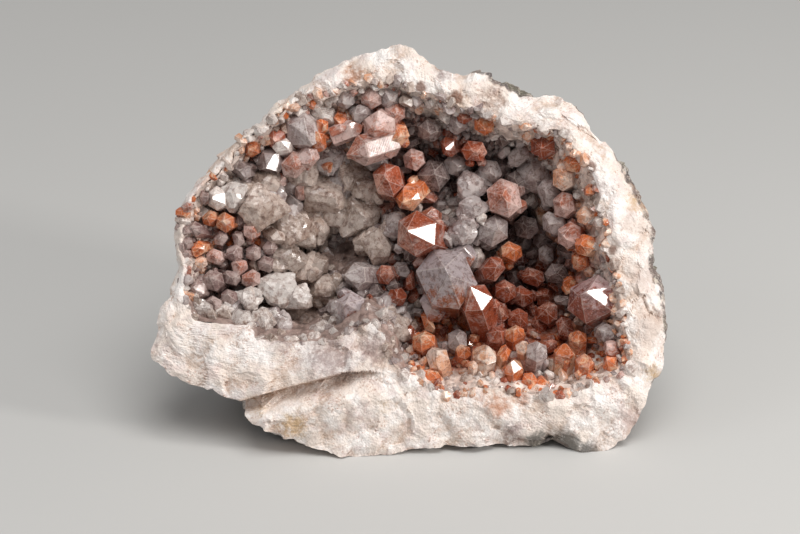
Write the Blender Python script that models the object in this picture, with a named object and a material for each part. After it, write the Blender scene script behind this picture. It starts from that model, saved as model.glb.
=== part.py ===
"""Hematoid quartz in matrix: a broken half geode of milky quartz with a dark rind, lined with crystals.

The broken face is modelled in its own frame: u to the right, v up along the face and w out of it,
in millimetres from the middle of the face. The face leans back, and the stone rests on its underside,
which is worn flat in a few places. The row frame is in metres, +Z up, with its origin under the middle
of the stone.
"""

import math
import random

import bmesh
import bpy
import numpy as np
from mathutils import Matrix, Vector, noise
from mathutils.geometry import delaunay_2d_cdt

MM = 0.001

# The stance of the stone.
LEAN = math.radians(25)  # the broken face leans back from upright by this
FACE_HEIGHT = 56.6  # height of the middle of the face above the floor
FACE_FORWARD = 21.0  # how far the middle of the face lies in front of the origin
FACE_RIGHT = -0.2

# The stone's main sizes.
BACK_DEPTH = 68.0  # from the broken face to the back of the stone
BACK_POLE = (4.0, -12.0)  # where the back stands out furthest, in u and v
BACK_SQUARENESS = 2.7  # 2 is round, more is boxier
SIDE_SQUARENESS = 2.6
ROUNDING = (4.0, 44.0)  # degrees from the edge to the back between which the outline's corners fade out
ROUND_SPREAD = 40.0  # degrees to either side over which the outline is averaged for the body
BACK_LUMP = 3.4  # height of the lumps on the outside
BACK_LUMP_SIZE = 21.0
WALL_RISE = 2.6  # how squarely the wall of the hollow drops from its mouth
CRUST_GAP = 0.35  # between the rock and the crystals that are trimmed to it
CRUST_BACK = 1.1  # between the rock and the back of the crust
CRUST_VALLEY = 4.8  # between the rock and the valleys between the crust's small crystals
CRUST_EDGE = 1.9  # between the rock and the front of the crust at the mouth
DRUSE_HEIGHT = (2.8, 5.2)  # how far the tips of the small crystals stand over the valleys
DRUSE_SPACING = 0.118  # between neighbouring corners of the small crystals; the hollow's radius is 1
DRUSE_JITTER = 0.018
DRUSE_SEED = 6
FOOT_HOLLOW = 2.2  # how far the underside rises between its feet
FOOT_RADIUS = 17.0
FEET = ((-22.0, -34.5), (52.0, -32.5), (4.0, 17.5), (-30.0, 5.5), (40.0, 1.5))  # x and y of each foot

# Steps of the mesh: round the stone, and across the hollow, the rim and the outside.
AROUND = 68
HOLLOW_STEPS = (0.2, 0.42, 0.62, 0.79, 0.91, 0.97)
CRUST_AROUND = 44
CRUST_STEPS = (0.26, 0.5, 0.7, 0.84, 0.93, 0.98)
CRUST_REACH = 0.997  # how near the mouth the crust comes
RIM_STEPS = (0.0, 0.22, 0.5, 0.78, 0.94)
OUTSIDE_STEPS = (0.0, 7.0, 16.0, 26.0, 36.0, 46.0, 56.0, 66.0, 78.0)  # degrees from the edge to the back

# The angle between the prism's axis and the faces of a quartz crystal's point is fixed by the mineral.
POINT_SLOPE = math.radians(51.8)
CORNER_SPREAD = (0.92, 1.06)  # shares of the radius between which a crystal's corners lie
APEX_SHIFT = 0.12  # how far the tip may lie off the middle, as a share of the radius
ROOT_DEPTH = 2.0  # how deep a crystal is rooted in the crust

# The outer edge of the broken face, clockwise from its top.
OUTLINE = (
    (-3.2, 70.3), (2.2, 67.8), (8.8, 61.8), (17.6, 59.7), (22.4, 61.4), (31.0, 57.0), (35.6, 52.9),
    (46.0, 53.1), (51.6, 50.9), (59.6, 42.0), (65.4, 35.2), (71.0, 26.0), (75.4, 20.0), (77.4, 13.6),
    (79.9, 9.1), (78.7, 5.8), (78.7, -2.3), (81.2, -8.9), (82.2, -18.7), (81.1, -32.8), (77.1, -41.4),
    (73.6, -51.7), (68.8, -55.7), (60.8, -63.1), (56.2, -62.3), (46.5, -58.0), (30.5, -59.4),
    (20.8, -61.1), (11.1, -59.6), (-3.2, -61.1), (-13.0, -62.4), (-21.3, -62.1), (-36.7, -56.6),
    (-51.0, -50.8), (-53.0, -48.9), (-52.4, -44.2), (-65.3, -39.8), (-74.2, -38.1), (-81.9, -30.7),
    (-82.4, -27.9), (-79.6, -14.6), (-76.2, -9.3), (-74.1, -1.5), (-75.5, 1.8), (-75.5, 12.4),
    (-73.9, 18.1), (-67.6, 26.8), (-55.4, 40.0), (-48.8, 44.9), (-45.5, 48.8), (-35.6, 54.8),
    (-30.1, 59.8), (-12.5, 67.0),
)

# The mouth of the hollow, clockwise from its top.
MOUTH = (
    (-3.2, 57.3), (2.6, 54.1), (15.7, 49.9), (24.6, 48.0), (35.2, 43.5), (47.7, 42.0), (57.9, 28.9),
    (61.8, 15.4), (63.2, 4.2), (67.2, -10.6), (69.1, -25.0), (70.4, -33.3), (59.5, -39.0),
    (54.0, -41.9), (31.0, -40.3), (19.5, -40.6), (11.1, -41.9), (4.2, -38.1), (-3.8, -33.9),
    (-8.0, -25.0), (-12.5, -19.2), (-20.8, -23.4), (-31.2, -25.3), (-49.0, -24.3), (-51.2, -20.2),
    (-68.8, -18.6), (-73.0, -9.0), (-72.0, -1.0), (-73.2, 9.0), (-71.7, 17.3), (-61.4, 28.8),
    (-47.4, 42.9), (-33.6, 52.8), (-18.6, 57.6),
)

# How far the rim stands out at its outer edge and at the mouth, by direction in degrees.
RIM_DIRECTIONS = (0, 30, 60, 90, 130, 150, 180, 200, 215, 240, 270, 300, 330, 360)
EDGE_OUT = (-5.0, -5.0, -4.5, -4.0, -7.0, -7.0, -7.0, -2.0, 0.0, 0.0, -1.5, -4.5, -4.0, -5.0)
MOUTH_OUT = (0.0, 0.0, -1.0, -1.5, -2.0, -3.0, -4.0, 0.5, 3.0, 3.0, 2.5, 2.0, 1.0, 0.0)

# The slab at the lower left stands out over a crack, and the block under the crack has a sloped top.
CRACK_U = (-82.0, -53.0, -40.0, -31.5, -20.8, -13.0, -4.0, 20.0)
CRACK_V = (-52.0, -44.0, -40.2, -38.0, -35.2, -34.8, -36.5, -46.0)
CRACK_FADE = (-25.0, -6.0)  # the step fades out between these, in u
SLAB_OUT = 3.4
BLOCK_DROP = 3.6
BLOCK_SLOPE = 9.0  # height of the sloped top, from the crack to the block's front edge
BLOCK_OUT = 5.0

# Hollows and mounds of the bottom of the hollow: u, v, radius, depth.
HOLLOW_DEPTH = 30.0
WALL_RADIUS = 64.0  # of a typical section through the hollow
HOLLOW_FOCUS = (0.0, 5.0, 22.0)  # the crust's thickness is measured towards this place in front of the mouth
HOLLOWS = (
    (42.0, 2.0, 24.0, 20.0), (34.0, 30.0, 16.0, 9.0), (-26.0, 4.0, 14.0, 9.0),
    (-33.0, -17.0, 10.0, 6.0), (-30.0, 23.0, 12.0, 8.0), (8.0, 36.0, 13.0, 6.0),
    (12.0, 2.0, 13.0, -14.0), (-50.0, 10.0, 15.0, -7.0), (-64.0, 4.0, 13.0, -5.0),
    (-30.0, 42.0, 13.0, -9.0), (-9.0, 46.0, 10.0, -7.0), (-14.0, -12.0, 9.0, -6.0),
    (30.0, -34.0, 18.0, -6.0),
)

# Broken faces of the outside: direction round the stone and slope backwards in degrees, and how deep
# each bites into the plain round body.
CHIPS = (
    (18, 30, 5.0), (66, 26, 5.5), (104, 44, 7.0), (150, 30, 5.0), (186, 46, 6.0), (336, 50, 6.5),
    (40, 58, 7.0), (222, 30, 4.5), (296, 38, 5.5), (84, 72, 5.0), (2, 76, 5.0), (350, 16, 3.0),
    (172, 14, 3.5), (126, 14, 3.0), (262, 62, 6.0), (140, 66, 6.5),
)
CHIP_KEEP = 0.15  # share of what stood over a chip's face that is left as a swell

# The crystals: u, v and w of the middle of the six-sided head, its radius, the lean of the crystal to
# the right and upwards in degrees, and its turn about its own length in degrees.
GREAT_CRYSTALS = (
    (2.2, 9.3, -7.0, 7.7, -27, 3, 0), (11.8, -4.8, -8.0, 10.0, 3, 17, 8),
    (20.5, -13.1, -8.5, 5.8, -10, 12, 20), (58.6, -11.8, -6.5, 8.2, -19, 15, 4),
)
MIDDLE_CRYSTALS = (
    (-7.0, 26.6, -10.0, 5.3, -8, 8, 15), (-0.6, 20.5, -11.0, 4.8, -20, 15, 0),
    (30.4, 20.5, -13.0, 6.0, -4, 5, 10), (21.1, 35.8, -11.0, 4.5, 4, -5, 25),
    (23.6, 43.0, -7.5, 4.0, 0, -20, 0), (7.7, 28.2, -19.0, 5.8, 0, 5, 20),
    (20.2, 24.3, -15.0, 5.0, 5, 6, 18), (12.5, 37.4, -14.0, 4.0, -5, -4, 0),
    (20.5, 17.0, -13.0, 5.0, -5, 3, 5), (17.3, 9.8, -11.5, 4.5, 8, 8, 20),
    (27.2, 10.2, -16.0, 5.8, 12, 0, 0), (33.3, 3.5, -18.0, 4.0, 8, 12, 6),
    (-17.6, -4.5, -13.0, 5.2, -48, 4, 10), (-19.5, -14.7, -9.0, 5.8, -16, 12, 0),
)
RIGHT_CRYSTALS = (
    (43.0, 37.4, -8.0, 4.8, -12, -12, 0), (40.6, 28.3, -19.0, 6.2, -5, -2, 12),
    (49.3, 27.2, -8.5, 4.2, -16, 0, 0), (49.6, 18.6, -10.0, 4.5, -17, 5, 10),
    (51.5, 8.8, -10.5, 4.6, -22, 0, 0), (62.0, -22.4, -6.5, 4.0, -30, 20, 0),
)
RUST_CRYSTALS = (
    (9.0, -31.0, -4.5, 4.7, -10, 34, 16), (24.0, -29.8, -5.0, 4.6, 12, 50, 0),
    (28.8, -23.7, -14.0, 4.1, 6, 24, 20), (40.8, -28.8, -6.5, 4.5, 6, 40, 0),
    (15.4, -25.3, -12.0, 4.1, 0, 20, 0), (49.9, -28.8, -7.0, 4.0, 5, 58, 10),
    (4.2, -25.6, -8.5, 4.4, -10, 28, 0),
)
UPPER_LEFT_CRYSTALS = (
    (-12.5, 51.6, -7.0, 4.0, -14, -12, 0), (-16.6, 38.2, -7.0, 5.2, -34, -26, 8),
    (-9.6, 44.8, -6.0, 5.4, -8, -12, 0), (-4.2, 40.8, -8.0, 4.8, 6, -14, 20),
    (-45.4, 31.7, -7.0, 4.8, -12, -8, 0), (-37.1, 31.0, -6.5, 4.9, 8, -14, 14),
    (-33.4, 40.6, -6.5, 7.0, 8, -8, 0),
)
LEFT_CRYSTALS = (
    (-62.2, 19.4, -5.5, 4.2, -14, -6, 0), (-48.3, 19.0, -6.0, 7.2, 8, -4, 10),
    (-38.6, 11.8, -13.0, 5.3, 16, 4, 0), (-27.0, 22.0, -22.0, 8.5, 4, -8, 0),
    (-16.0, 14.4, -20.0, 6.0, -12, 4, 0), (-42.0, -9.6, -11.0, 5.4, 10, 14, 0),
    (-4.4, -22.0, -9.0, 4.4, -20, 24, 12), (-59.5, 12.8, -6.0, 4.0, -8, 0, 0),
    (-63.5, -5.8, -6.5, 4.2, -8, 10, 14), (-9.0, -14.0, -13.0, 4.6, -18, 14, 0),
)
CRYSTALS = (
    GREAT_CRYSTALS + MIDDLE_CRYSTALS + RIGHT_CRYSTALS + RUST_CRYSTALS + UPPER_LEFT_CRYSTALS + LEFT_CRYSTALS
)

ROCK_COLOUR = (0.78, 0.72, 0.66, 1.0)
CRUST_COLOUR = (0.42, 0.30, 0.26, 1.0)


def face_point(u, v, w):
    """A point of the face frame, in millimetres, as a point of the row frame in metres."""
    forward = math.cos(LEAN) * w - math.sin(LEAN) * v
    up = math.cos(LEAN) * v + math.sin(LEAN) * w
    return Vector((u + FACE_RIGHT, -forward - FACE_FORWARD, up + FACE_HEIGHT)) * MM


def directions(count=AROUND):
    return [math.tau * i / count for i in range(count)]


def by_direction(points):
    """A closed outline as angles and radii, ready for interpolation."""
    angles = [math.atan2(v, u) % math.tau for u, v in points]
    radii = [math.hypot(u, v) for u, v in points]
    order = np.argsort(angles)
    return np.array(angles)[order], np.array(radii)[order]


OUTLINE_BY_DIRECTION = by_direction(OUTLINE)
MOUTH_BY_DIRECTION = by_direction(MOUTH)


def radius_at(outline, angle):
    return float(np.interp(angle % math.tau, *outline, period=math.tau))


def along_rim(values, angle):
    return float(np.interp(math.degrees(angle % math.tau), RIM_DIRECTIONS, values))


def smooth_step(low, high, x):
    t = min(1.0, max(0.0, (x - low) / (high - low)))
    return t * t * (3 - 2 * t)


def lumps(u, v, w, size):
    """Smooth noise from -1 to 1 with lumps of about this size."""
    return noise.fractal(Vector((u, v, w)) / size, 0.9, 2.1, 3)


def crack_step(u, v):
    """How far the face stands out or lies back at the lower left, on either side of the crack."""
    fade = 1 - smooth_step(*CRACK_FADE, u)
    above = v - float(np.interp(u, CRACK_U, CRACK_V))
    if above > 0:
        return fade * SLAB_OUT * smooth_step(14.0, 1.0, above)
    below = -above
    sloped_top = BLOCK_OUT * smooth_step(0.0, BLOCK_SLOPE, below)
    lower_edge = 4.0 * smooth_step(BLOCK_SLOPE + 3.0, BLOCK_SLOPE + 12.0, below)
    return fade * (sloped_top - BLOCK_DROP * smooth_step(BLOCK_SLOPE, 0.0, below) - lower_edge)


def rim_out(angle, share):
    """w of the broken rim, this share of the way from the mouth to the outer edge."""
    inner = radius_at(MOUTH_BY_DIRECTION, angle)
    outer = radius_at(OUTLINE_BY_DIRECTION, angle)
    radius = inner + (outer - inner) * share
    u, v = radius * math.cos(angle), radius * math.sin(angle)
    level = along_rim(MOUTH_OUT, angle)
    level += (along_rim(EDGE_OUT, angle) - level) * share**1.6
    crown = 1.2 * math.sin(math.pi * share)
    return level + crown + crack_step(u, v) + 1.1 * lumps(u, v, 0.0, 14.0)


def rim_point(angle, share):
    inner = radius_at(MOUTH_BY_DIRECTION, angle)
    radius = inner + (radius_at(OUTLINE_BY_DIRECTION, angle) - inner) * share
    return radius * math.cos(angle), radius * math.sin(angle), rim_out(angle, share)


def crack_share(angle):
    """How far from the mouth to the outer edge the crack lies in this direction, and how strong it is."""
    inner = radius_at(MOUTH_BY_DIRECTION, angle)
    outer = radius_at(OUTLINE_BY_DIRECTION, angle)
    if math.sin(angle) > -0.2:
        return 0.5, 0.0
    for step in range(101):
        share = step / 100
        radius = inner + (outer - inner) * share
        u, v = radius * math.cos(angle), radius * math.sin(angle)
        if v < float(np.interp(u, CRACK_U, CRACK_V)):
            strength = 1 - smooth_step(*CRACK_FADE, u)
            strength *= smooth_step(0.04, 0.3, share)
            return share, strength
    return 0.5, 0.0


def rim_shares(angle):
    """Where the rings of the rim lie: evenly spread, but close to both lips of the crack."""
    crack, strength = crack_share(angle)
    width = 0.02
    by_crack = (0.0, crack * 0.5, crack - width, crack + width, crack + (1 - crack) * 0.45)
    return [even + (near - even) * strength for even, near in zip(RIM_STEPS, by_crack)]


def hollow_out(angle, share):
    """w of the rock inside the hollow, this share of the way from its middle to the mouth."""
    radius = radius_at(MOUTH_BY_DIRECTION, angle) * share
    u, v = radius * math.cos(angle), radius * math.sin(angle)
    depth = HOLLOW_DEPTH
    for at_u, at_v, size, more in HOLLOWS:
        depth += more * math.exp(-((u - at_u) ** 2 + (v - at_v) ** 2) / size**2)
    bowl = max(0.0, 1 - share**WALL_RISE) ** (1 / WALL_RISE)
    return rim_out(angle, 0.0) * share**4 - depth * bowl + 1.2 * lumps(u, v, 30.0, 11.0) * bowl


def body_point(angle, turn):
    """A point of the plain body: the outline at its edge, rounder further back."""
    sine, cosine = math.sin(math.radians(turn)), math.cos(math.radians(turn))
    rounder = smooth_step(*ROUNDING, turn)
    radius = radius_at(OUTLINE_BY_DIRECTION, angle)
    radius += (radius_at(ROUND_OUTLINE, angle) - radius) * rounder
    inwards = cosine ** (2 / SIDE_SQUARENESS)
    u = BACK_POLE[0] + (radius * math.cos(angle) - BACK_POLE[0]) * inwards
    v = BACK_POLE[1] + (radius * math.sin(angle) - BACK_POLE[1]) * inwards
    edge_w = rim_out(angle, 1.0)
    return Vector((u, v, edge_w - (BACK_DEPTH + edge_w) * sine ** (2 / BACK_SQUARENESS)))


def round_outline():
    """The outline with its corners averaged away, by direction."""
    angles = np.linspace(0.0, math.tau, 73)[:-1]
    window = np.radians(np.linspace(-ROUND_SPREAD, ROUND_SPREAD, 13))
    radii = [np.mean([radius_at(OUTLINE_BY_DIRECTION, angle + turn) for turn in window]) for angle in angles]
    return angles, np.array(radii)


def chip_planes():
    """The chips as unit normals and distances from the middle of the face."""
    body = [body_point(angle, turn) for angle in directions() for turn in OUTSIDE_STEPS]
    planes = []
    for around, backwards, bite in CHIPS:
        around, backwards = math.radians(around), math.radians(backwards)
        level = math.cos(backwards)
        normal = Vector((math.cos(around) * level, math.sin(around) * level, -math.sin(backwards)))
        planes.append((normal, max(point.dot(normal) for point in body) - bite))
    return planes


def outside_point(angle, turn):
    """A point of the rind: turn goes from 0 degrees at the outer edge to 90 at the back."""
    point = body_point(angle, turn)
    back_from_edge = smooth_step(0.0, 12.0, turn)
    for normal, distance in CHIP_PLANES:
        over = point.dot(normal) - distance
        if over > 0:
            point = point - normal * over * (1 - CHIP_KEEP) * back_from_edge
    outwards = Vector((point.x - BACK_POLE[0], point.y - BACK_POLE[1], point.z * 0.8)).normalized()
    return point + outwards * BACK_LUMP * back_from_edge * lumps(*point, BACK_LUMP_SIZE)


def rest_on_floor(point):
    """Wears the underside flat: its feet lie on the floor, and the rest of it rises a little."""
    rise = FOOT_HOLLOW
    for foot_x, foot_y in FEET:
        away = math.hypot(point.x / MM - foot_x, point.y / MM - foot_y)
        rise = min(rise, FOOT_HOLLOW * smooth_step(FOOT_RADIUS, 1.6 * FOOT_RADIUS, away))
    return Vector((point.x, point.y, max(point.z, rise * MM)))


def bridge(bm, ring, next_ring):
    count = len(ring)
    for i in range(count):
        j = (i + 1) % count
        bm.faces.new((ring[i], ring[j], next_ring[j], next_ring[i]))


def fan(bm, ring, middle, facing_out):
    count = len(ring)
    for i in range(count):
        j = (i + 1) % count
        corners = (ring[i], ring[j], middle) if facing_out else (ring[j], ring[i], middle)
        bm.faces.new(corners)


def hollow_point(angle, share):
    radius = radius_at(MOUTH_BY_DIRECTION, angle) * share
    return Vector((radius * math.cos(angle), radius * math.sin(angle), hollow_out(angle, share)))


def solid_from_rings(name, rings, first_middle, last_middle):
    """A closed solid from rings of points, with a fan at each end. The first fan faces the viewer."""
    bm = bmesh.new()
    made = [[bm.verts.new(point) for point in ring] for ring in rings]
    fan(bm, made[0], bm.verts.new(first_middle), facing_out=True)
    for ring, next_ring in zip(made, made[1:]):
        bridge(bm, next_ring, ring)
    fan(bm, made[-1], bm.verts.new(last_middle), facing_out=False)
    bmesh.ops.triangulate(bm, faces=bm.faces[:])
    bmesh.ops.recalc_face_normals(bm, faces=bm.faces[:])
    return finish_object(name, bm)


def finish_object(name, bm):
    mesh = bpy.data.meshes.new(name)
    bm.to_mesh(mesh)
    bm.free()
    obj = bpy.data.objects.new(name, mesh)
    bpy.context.scene.collection.objects.link(obj)
    return obj


def paint(obj, name, colour, roughness):
    material = bpy.data.materials.new(name)
    material.use_nodes = True
    shader = material.node_tree.nodes["Principled BSDF"]
    shader.inputs["Base Color"].default_value = colour
    shader.inputs["Roughness"].default_value = roughness
    shader.inputs["Metallic"].default_value = 0.0
    obj.data.materials.clear()
    obj.data.materials.append(material)


def make_matrix():
    """The rock: hollow, broken rim and rind in one closed solid."""
    rings = []
    for share in HOLLOW_STEPS:
        rings.append([face_point(*hollow_point(angle, share)) for angle in directions()])
    by_angle = {angle: rim_shares(angle) for angle in directions()}
    for step in range(len(RIM_STEPS)):
        rings.append([face_point(*rim_point(angle, by_angle[angle][step])) for angle in directions()])
    for turn in OUTSIDE_STEPS:
        rings.append([face_point(*outside_point(angle, turn)) for angle in directions()])
    rings = [[rest_on_floor(point) for point in ring] for ring in rings]
    middle = face_point(*hollow_point(0.0, 0.0))
    back = rest_on_floor(face_point(*outside_point(0.0, 90.0)))
    matrix = solid_from_rings("matrix", rings, middle, back)
    paint(matrix, "milky_quartz_rock", ROCK_COLOUR, 0.7)
    return matrix


def lifted_hollow_point(angle, share, lift):
    """A point above the rock of the hollow: half square to it, half towards a place before the mouth."""
    step = 0.01
    here = hollow_point(angle, share)
    forwards = (Vector(HOLLOW_FOCUS) - here).normalized()
    if share > step:
        outwards = hollow_point(angle, share + step) - hollow_point(angle, share - step)
        sideways = hollow_point(angle + step, share) - hollow_point(angle - step, share)
        forwards = (forwards + outwards.cross(sideways).normalized()).normalized()
    return here + forwards * lift


def hollow_ring(share, around, lift):
    return [lifted_hollow_point(angle, share, lift) for angle in around]


def share_along_wall(way):
    """The share of the mouth's radius at this share of the way from the middle to the mouth."""
    shares = np.linspace(0.0, 1.0, 200)
    radii, depths = WALL_RADIUS * shares, HOLLOW_DEPTH * (1 - shares**WALL_RISE) ** (1 / WALL_RISE)
    ways = np.concatenate(([0.0], np.cumsum(np.hypot(np.diff(radii), np.diff(depths)))))
    return float(np.interp(way * ways[-1], ways, shares))


def druse_corners():
    """Corners and tips of the small crystals as points of a disc, each with how far it stands up."""
    pick = random.Random(DRUSE_SEED)
    rows = int(1.2 / DRUSE_SPACING)
    corners = []
    for row in range(-rows, rows + 1):
        for column in range(-2 * rows, 2 * rows + 1):
            x = (column + row / 2) * DRUSE_SPACING + pick.uniform(-DRUSE_JITTER, DRUSE_JITTER)
            y = row * DRUSE_SPACING * math.cos(math.pi / 6) + pick.uniform(-DRUSE_JITTER, DRUSE_JITTER)
            if math.hypot(x, y) < 1 - DRUSE_SPACING * 0.7:
                is_tip = (column - row) % 3 == 0
                corners.append((Vector((x, y)), pick.uniform(*DRUSE_HEIGHT) if is_tip else 0.0))
    return corners


def make_crust_base():
    """The crust without its larger crystals: small pyramids side by side over the whole hollow."""
    around = directions(CRUST_AROUND)
    corners = druse_corners()
    edge = [Vector((math.cos(angle), math.sin(angle))) for angle in around]
    flat = edge + [place for place, _ in corners]
    points = hollow_ring(CRUST_REACH, around, CRUST_EDGE)
    for place, height in corners:
        share = CRUST_REACH * share_along_wall(place.length)
        points.append(lifted_hollow_point(math.atan2(place.y, place.x), share, CRUST_VALLEY + height))
    _, _, triangles, sources, _, _ = delaunay_2d_cdt(flat, [], [], 0, 1e-6)
    bm = bmesh.new()
    front = [bm.verts.new(face_point(*point)) for point in points]
    for triangle in triangles:
        bm.faces.new([front[sources[corner][0]] for corner in triangle])
    ring = front[:CRUST_AROUND]
    for share in (CRUST_REACH,) + CRUST_STEPS[::-1]:
        next_ring = [bm.verts.new(face_point(*point)) for point in hollow_ring(share, around, CRUST_BACK)]
        bridge(bm, next_ring, ring)
        ring = next_ring
    fan(bm, ring, bm.verts.new(face_point(*lifted_hollow_point(0.0, 0.0, CRUST_BACK))), facing_out=False)
    bmesh.ops.triangulate(bm, faces=bm.faces[:])
    bmesh.ops.recalc_face_normals(bm, faces=bm.faces[:])
    return finish_object("crystal_crust", bm)


def make_hollow_space():
    """A helper that fills the hollow and the space in front of it. Crystals are trimmed to it."""
    shares = list(HOLLOW_STEPS) + [1.0]
    wall = [hollow_ring(share, directions(), CRUST_GAP) for share in shares]
    mouth = wall[-1]
    ahead = [Vector((p.x, p.y, 60.0)) for p in mouth]
    rings = [ahead] + wall[::-1]
    rings = [[face_point(*point) for point in ring] for ring in rings]
    back_middle = face_point(*lifted_hollow_point(0.0, 0.0, CRUST_GAP))
    space = solid_from_rings("hollow_space", rings, face_point(0.0, 0.0, 60.0), back_middle)
    space.hide_render = True
    space.display_type = "WIRE"
    return space


def crust_level(u, v):
    """w of the crust's surface at this place."""
    angle = math.atan2(v, u)
    share = min(1.0, math.hypot(u, v) / radius_at(MOUTH_BY_DIRECTION, angle))
    return hollow_out(angle, share) + CRUST_VALLEY


def root_length(head, axis):
    """How far a crystal runs back from its head until it is rooted in the crust."""
    length = 0.0
    step = 0.5
    while length < HOLLOW_DEPTH * 2:
        point = head - axis * length
        if point.z < crust_level(point.x, point.y):
            break
        length += step
    return length + ROOT_DEPTH


def make_crystal(index, row):
    """One quartz crystal: a six-sided prism with a six-faced point, none of its sides quite equal."""
    u, v, w, radius, lean_right, lean_up, turn = row
    pick = random.Random(index)
    axis = Vector((math.tan(math.radians(lean_right)), math.tan(math.radians(lean_up)), 1.0)).normalized()
    head = Vector((u, v, w))
    length = root_length(head, axis)
    point_height = radius * math.cos(math.pi / 6) * math.tan(POINT_SLOPE)
    bm = bmesh.new()
    shoulder = bmesh.ops.create_circle(bm, segments=6, radius=radius)["verts"]
    for corner in shoulder:
        corner.co *= pick.uniform(*CORNER_SPREAD)
    sides = bmesh.ops.extrude_edge_only(bm, edges=bm.edges[:])["geom"]
    root = [item for item in sides if isinstance(item, bmesh.types.BMVert)]
    bmesh.ops.translate(bm, verts=root, vec=(0, 0, -length))
    bmesh.ops.contextual_create(bm, geom=root)
    shift = Vector((pick.uniform(-1, 1), pick.uniform(-1, 1), 0)) * APEX_SHIFT * radius
    fan(bm, shoulder, bm.verts.new(shift + Vector((0, 0, point_height))), facing_out=True)
    bmesh.ops.rotate(bm, verts=bm.verts, matrix=Matrix.Rotation(math.radians(turn), 3, "Z"))
    bmesh.ops.rotate(bm, verts=bm.verts, matrix=axis.to_track_quat("Z", "Y").to_matrix())
    bmesh.ops.translate(bm, verts=bm.verts, vec=head)
    for vert in bm.verts:
        vert.co = face_point(*vert.co)
    bmesh.ops.recalc_face_normals(bm, faces=bm.faces[:])
    crystal = finish_object(f"crystal_{index}", bm)
    crystal.hide_render = True
    crystal.display_type = "WIRE"
    return crystal


def add_boolean(obj, name, operation, operand=None, collection=None):
    modifier = obj.modifiers.new(name, "BOOLEAN")
    modifier.operation = operation
    modifier.solver = "EXACT"
    if collection:
        modifier.operand_type = "COLLECTION"
        modifier.collection = collection
    else:
        modifier.object = operand


def make_crust():
    """The crust with its crystals, trimmed to the hollow so that it stays clear of the rock."""
    crust = make_crust_base()
    crystals = bpy.data.collections.new("crystals")
    bpy.context.scene.collection.children.link(crystals)
    for index, row in enumerate(CRYSTALS):
        crystal = make_crystal(index, row)
        bpy.context.scene.collection.objects.unlink(crystal)
        crystals.objects.link(crystal)
    add_boolean(crust, "grow_crystals", "UNION", collection=crystals)
    add_boolean(crust, "trim_to_hollow", "INTERSECT", operand=make_hollow_space())
    paint(crust, "red_and_grey_quartz", CRUST_COLOUR, 0.25)
    return crust


ROUND_OUTLINE = round_outline()
CHIP_PLANES = chip_planes()


def main():
    for obj in list(bpy.data.objects):
        bpy.data.objects.remove(obj)
    make_matrix()
    make_crust()


main()
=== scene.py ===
import itertools
import math
import random

import bmesh
import bpy
import numpy as np
from mathutils import Matrix, Vector, noise


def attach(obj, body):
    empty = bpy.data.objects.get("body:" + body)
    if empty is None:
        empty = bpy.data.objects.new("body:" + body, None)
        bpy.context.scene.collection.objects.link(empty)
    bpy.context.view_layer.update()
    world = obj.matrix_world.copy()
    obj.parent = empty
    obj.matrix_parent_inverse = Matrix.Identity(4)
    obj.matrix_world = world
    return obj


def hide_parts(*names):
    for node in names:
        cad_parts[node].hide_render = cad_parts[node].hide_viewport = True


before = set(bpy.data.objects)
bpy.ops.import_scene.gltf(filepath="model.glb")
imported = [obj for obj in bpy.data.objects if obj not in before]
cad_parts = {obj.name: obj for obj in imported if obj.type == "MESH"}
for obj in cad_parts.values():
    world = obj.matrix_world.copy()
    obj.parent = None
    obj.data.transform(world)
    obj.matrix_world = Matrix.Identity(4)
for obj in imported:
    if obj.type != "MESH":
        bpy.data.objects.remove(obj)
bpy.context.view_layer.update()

MM = 0.001
UP = Vector((0.0, 0.0, 1.0))

# The stance, sizes and outlines of the stone, in millimetres, as in the part's source. u runs to the
# right along the broken face, v up along it and w out of it.
LEAN = math.radians(25)
FACE_HEIGHT = 56.6
FACE_FORWARD = 21.0
FACE_RIGHT = -0.2
BACK_DEPTH = 68.0
BACK_POLE = (4.0, -12.0)
BACK_SQUARENESS = 2.7
SIDE_SQUARENESS = 2.6
ROUNDING = (4.0, 44.0)
ROUND_SPREAD = 40.0
BACK_LUMP = 3.4
BACK_LUMP_SIZE = 21.0
WALL_RISE = 2.6
CRUST_VALLEY = 4.8
FOOT_HOLLOW = 2.2
FOOT_RADIUS = 17.0
FEET = ((-22.0, -34.5), (52.0, -32.5), (4.0, 17.5), (-30.0, 5.5), (40.0, 1.5))

POINT_SLOPE = math.radians(51.8)

OUTLINE = (
    (-3.2, 70.3), (2.2, 67.8), (8.8, 61.8), (17.6, 59.7), (22.4, 61.4), (31.0, 57.0), (35.6, 52.9),
    (46.0, 53.1), (51.6, 50.9), (59.6, 42.0), (65.4, 35.2), (71.0, 26.0), (75.4, 20.0), (77.4, 13.6),
    (79.9, 9.1), (78.7, 5.8), (78.7, -2.3), (81.2, -8.9), (82.2, -18.7), (81.1, -32.8), (77.1, -41.4),
    (73.6, -51.7), (68.8, -55.7), (60.8, -63.1), (56.2, -62.3), (46.5, -58.0), (30.5, -59.4),
    (20.8, -61.1), (11.1, -59.6), (-3.2, -61.1), (-13.0, -62.4), (-21.3, -62.1), (-36.7, -56.6),
    (-51.0, -50.8), (-53.0, -48.9), (-52.4, -44.2), (-65.3, -39.8), (-74.2, -38.1), (-81.9, -30.7),
    (-82.4, -27.9), (-79.6, -14.6), (-76.2, -9.3), (-74.1, -1.5), (-75.5, 1.8), (-75.5, 12.4),
    (-73.9, 18.1), (-67.6, 26.8), (-55.4, 40.0), (-48.8, 44.9), (-45.5, 48.8), (-35.6, 54.8),
    (-30.1, 59.8), (-12.5, 67.0),
)
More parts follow.
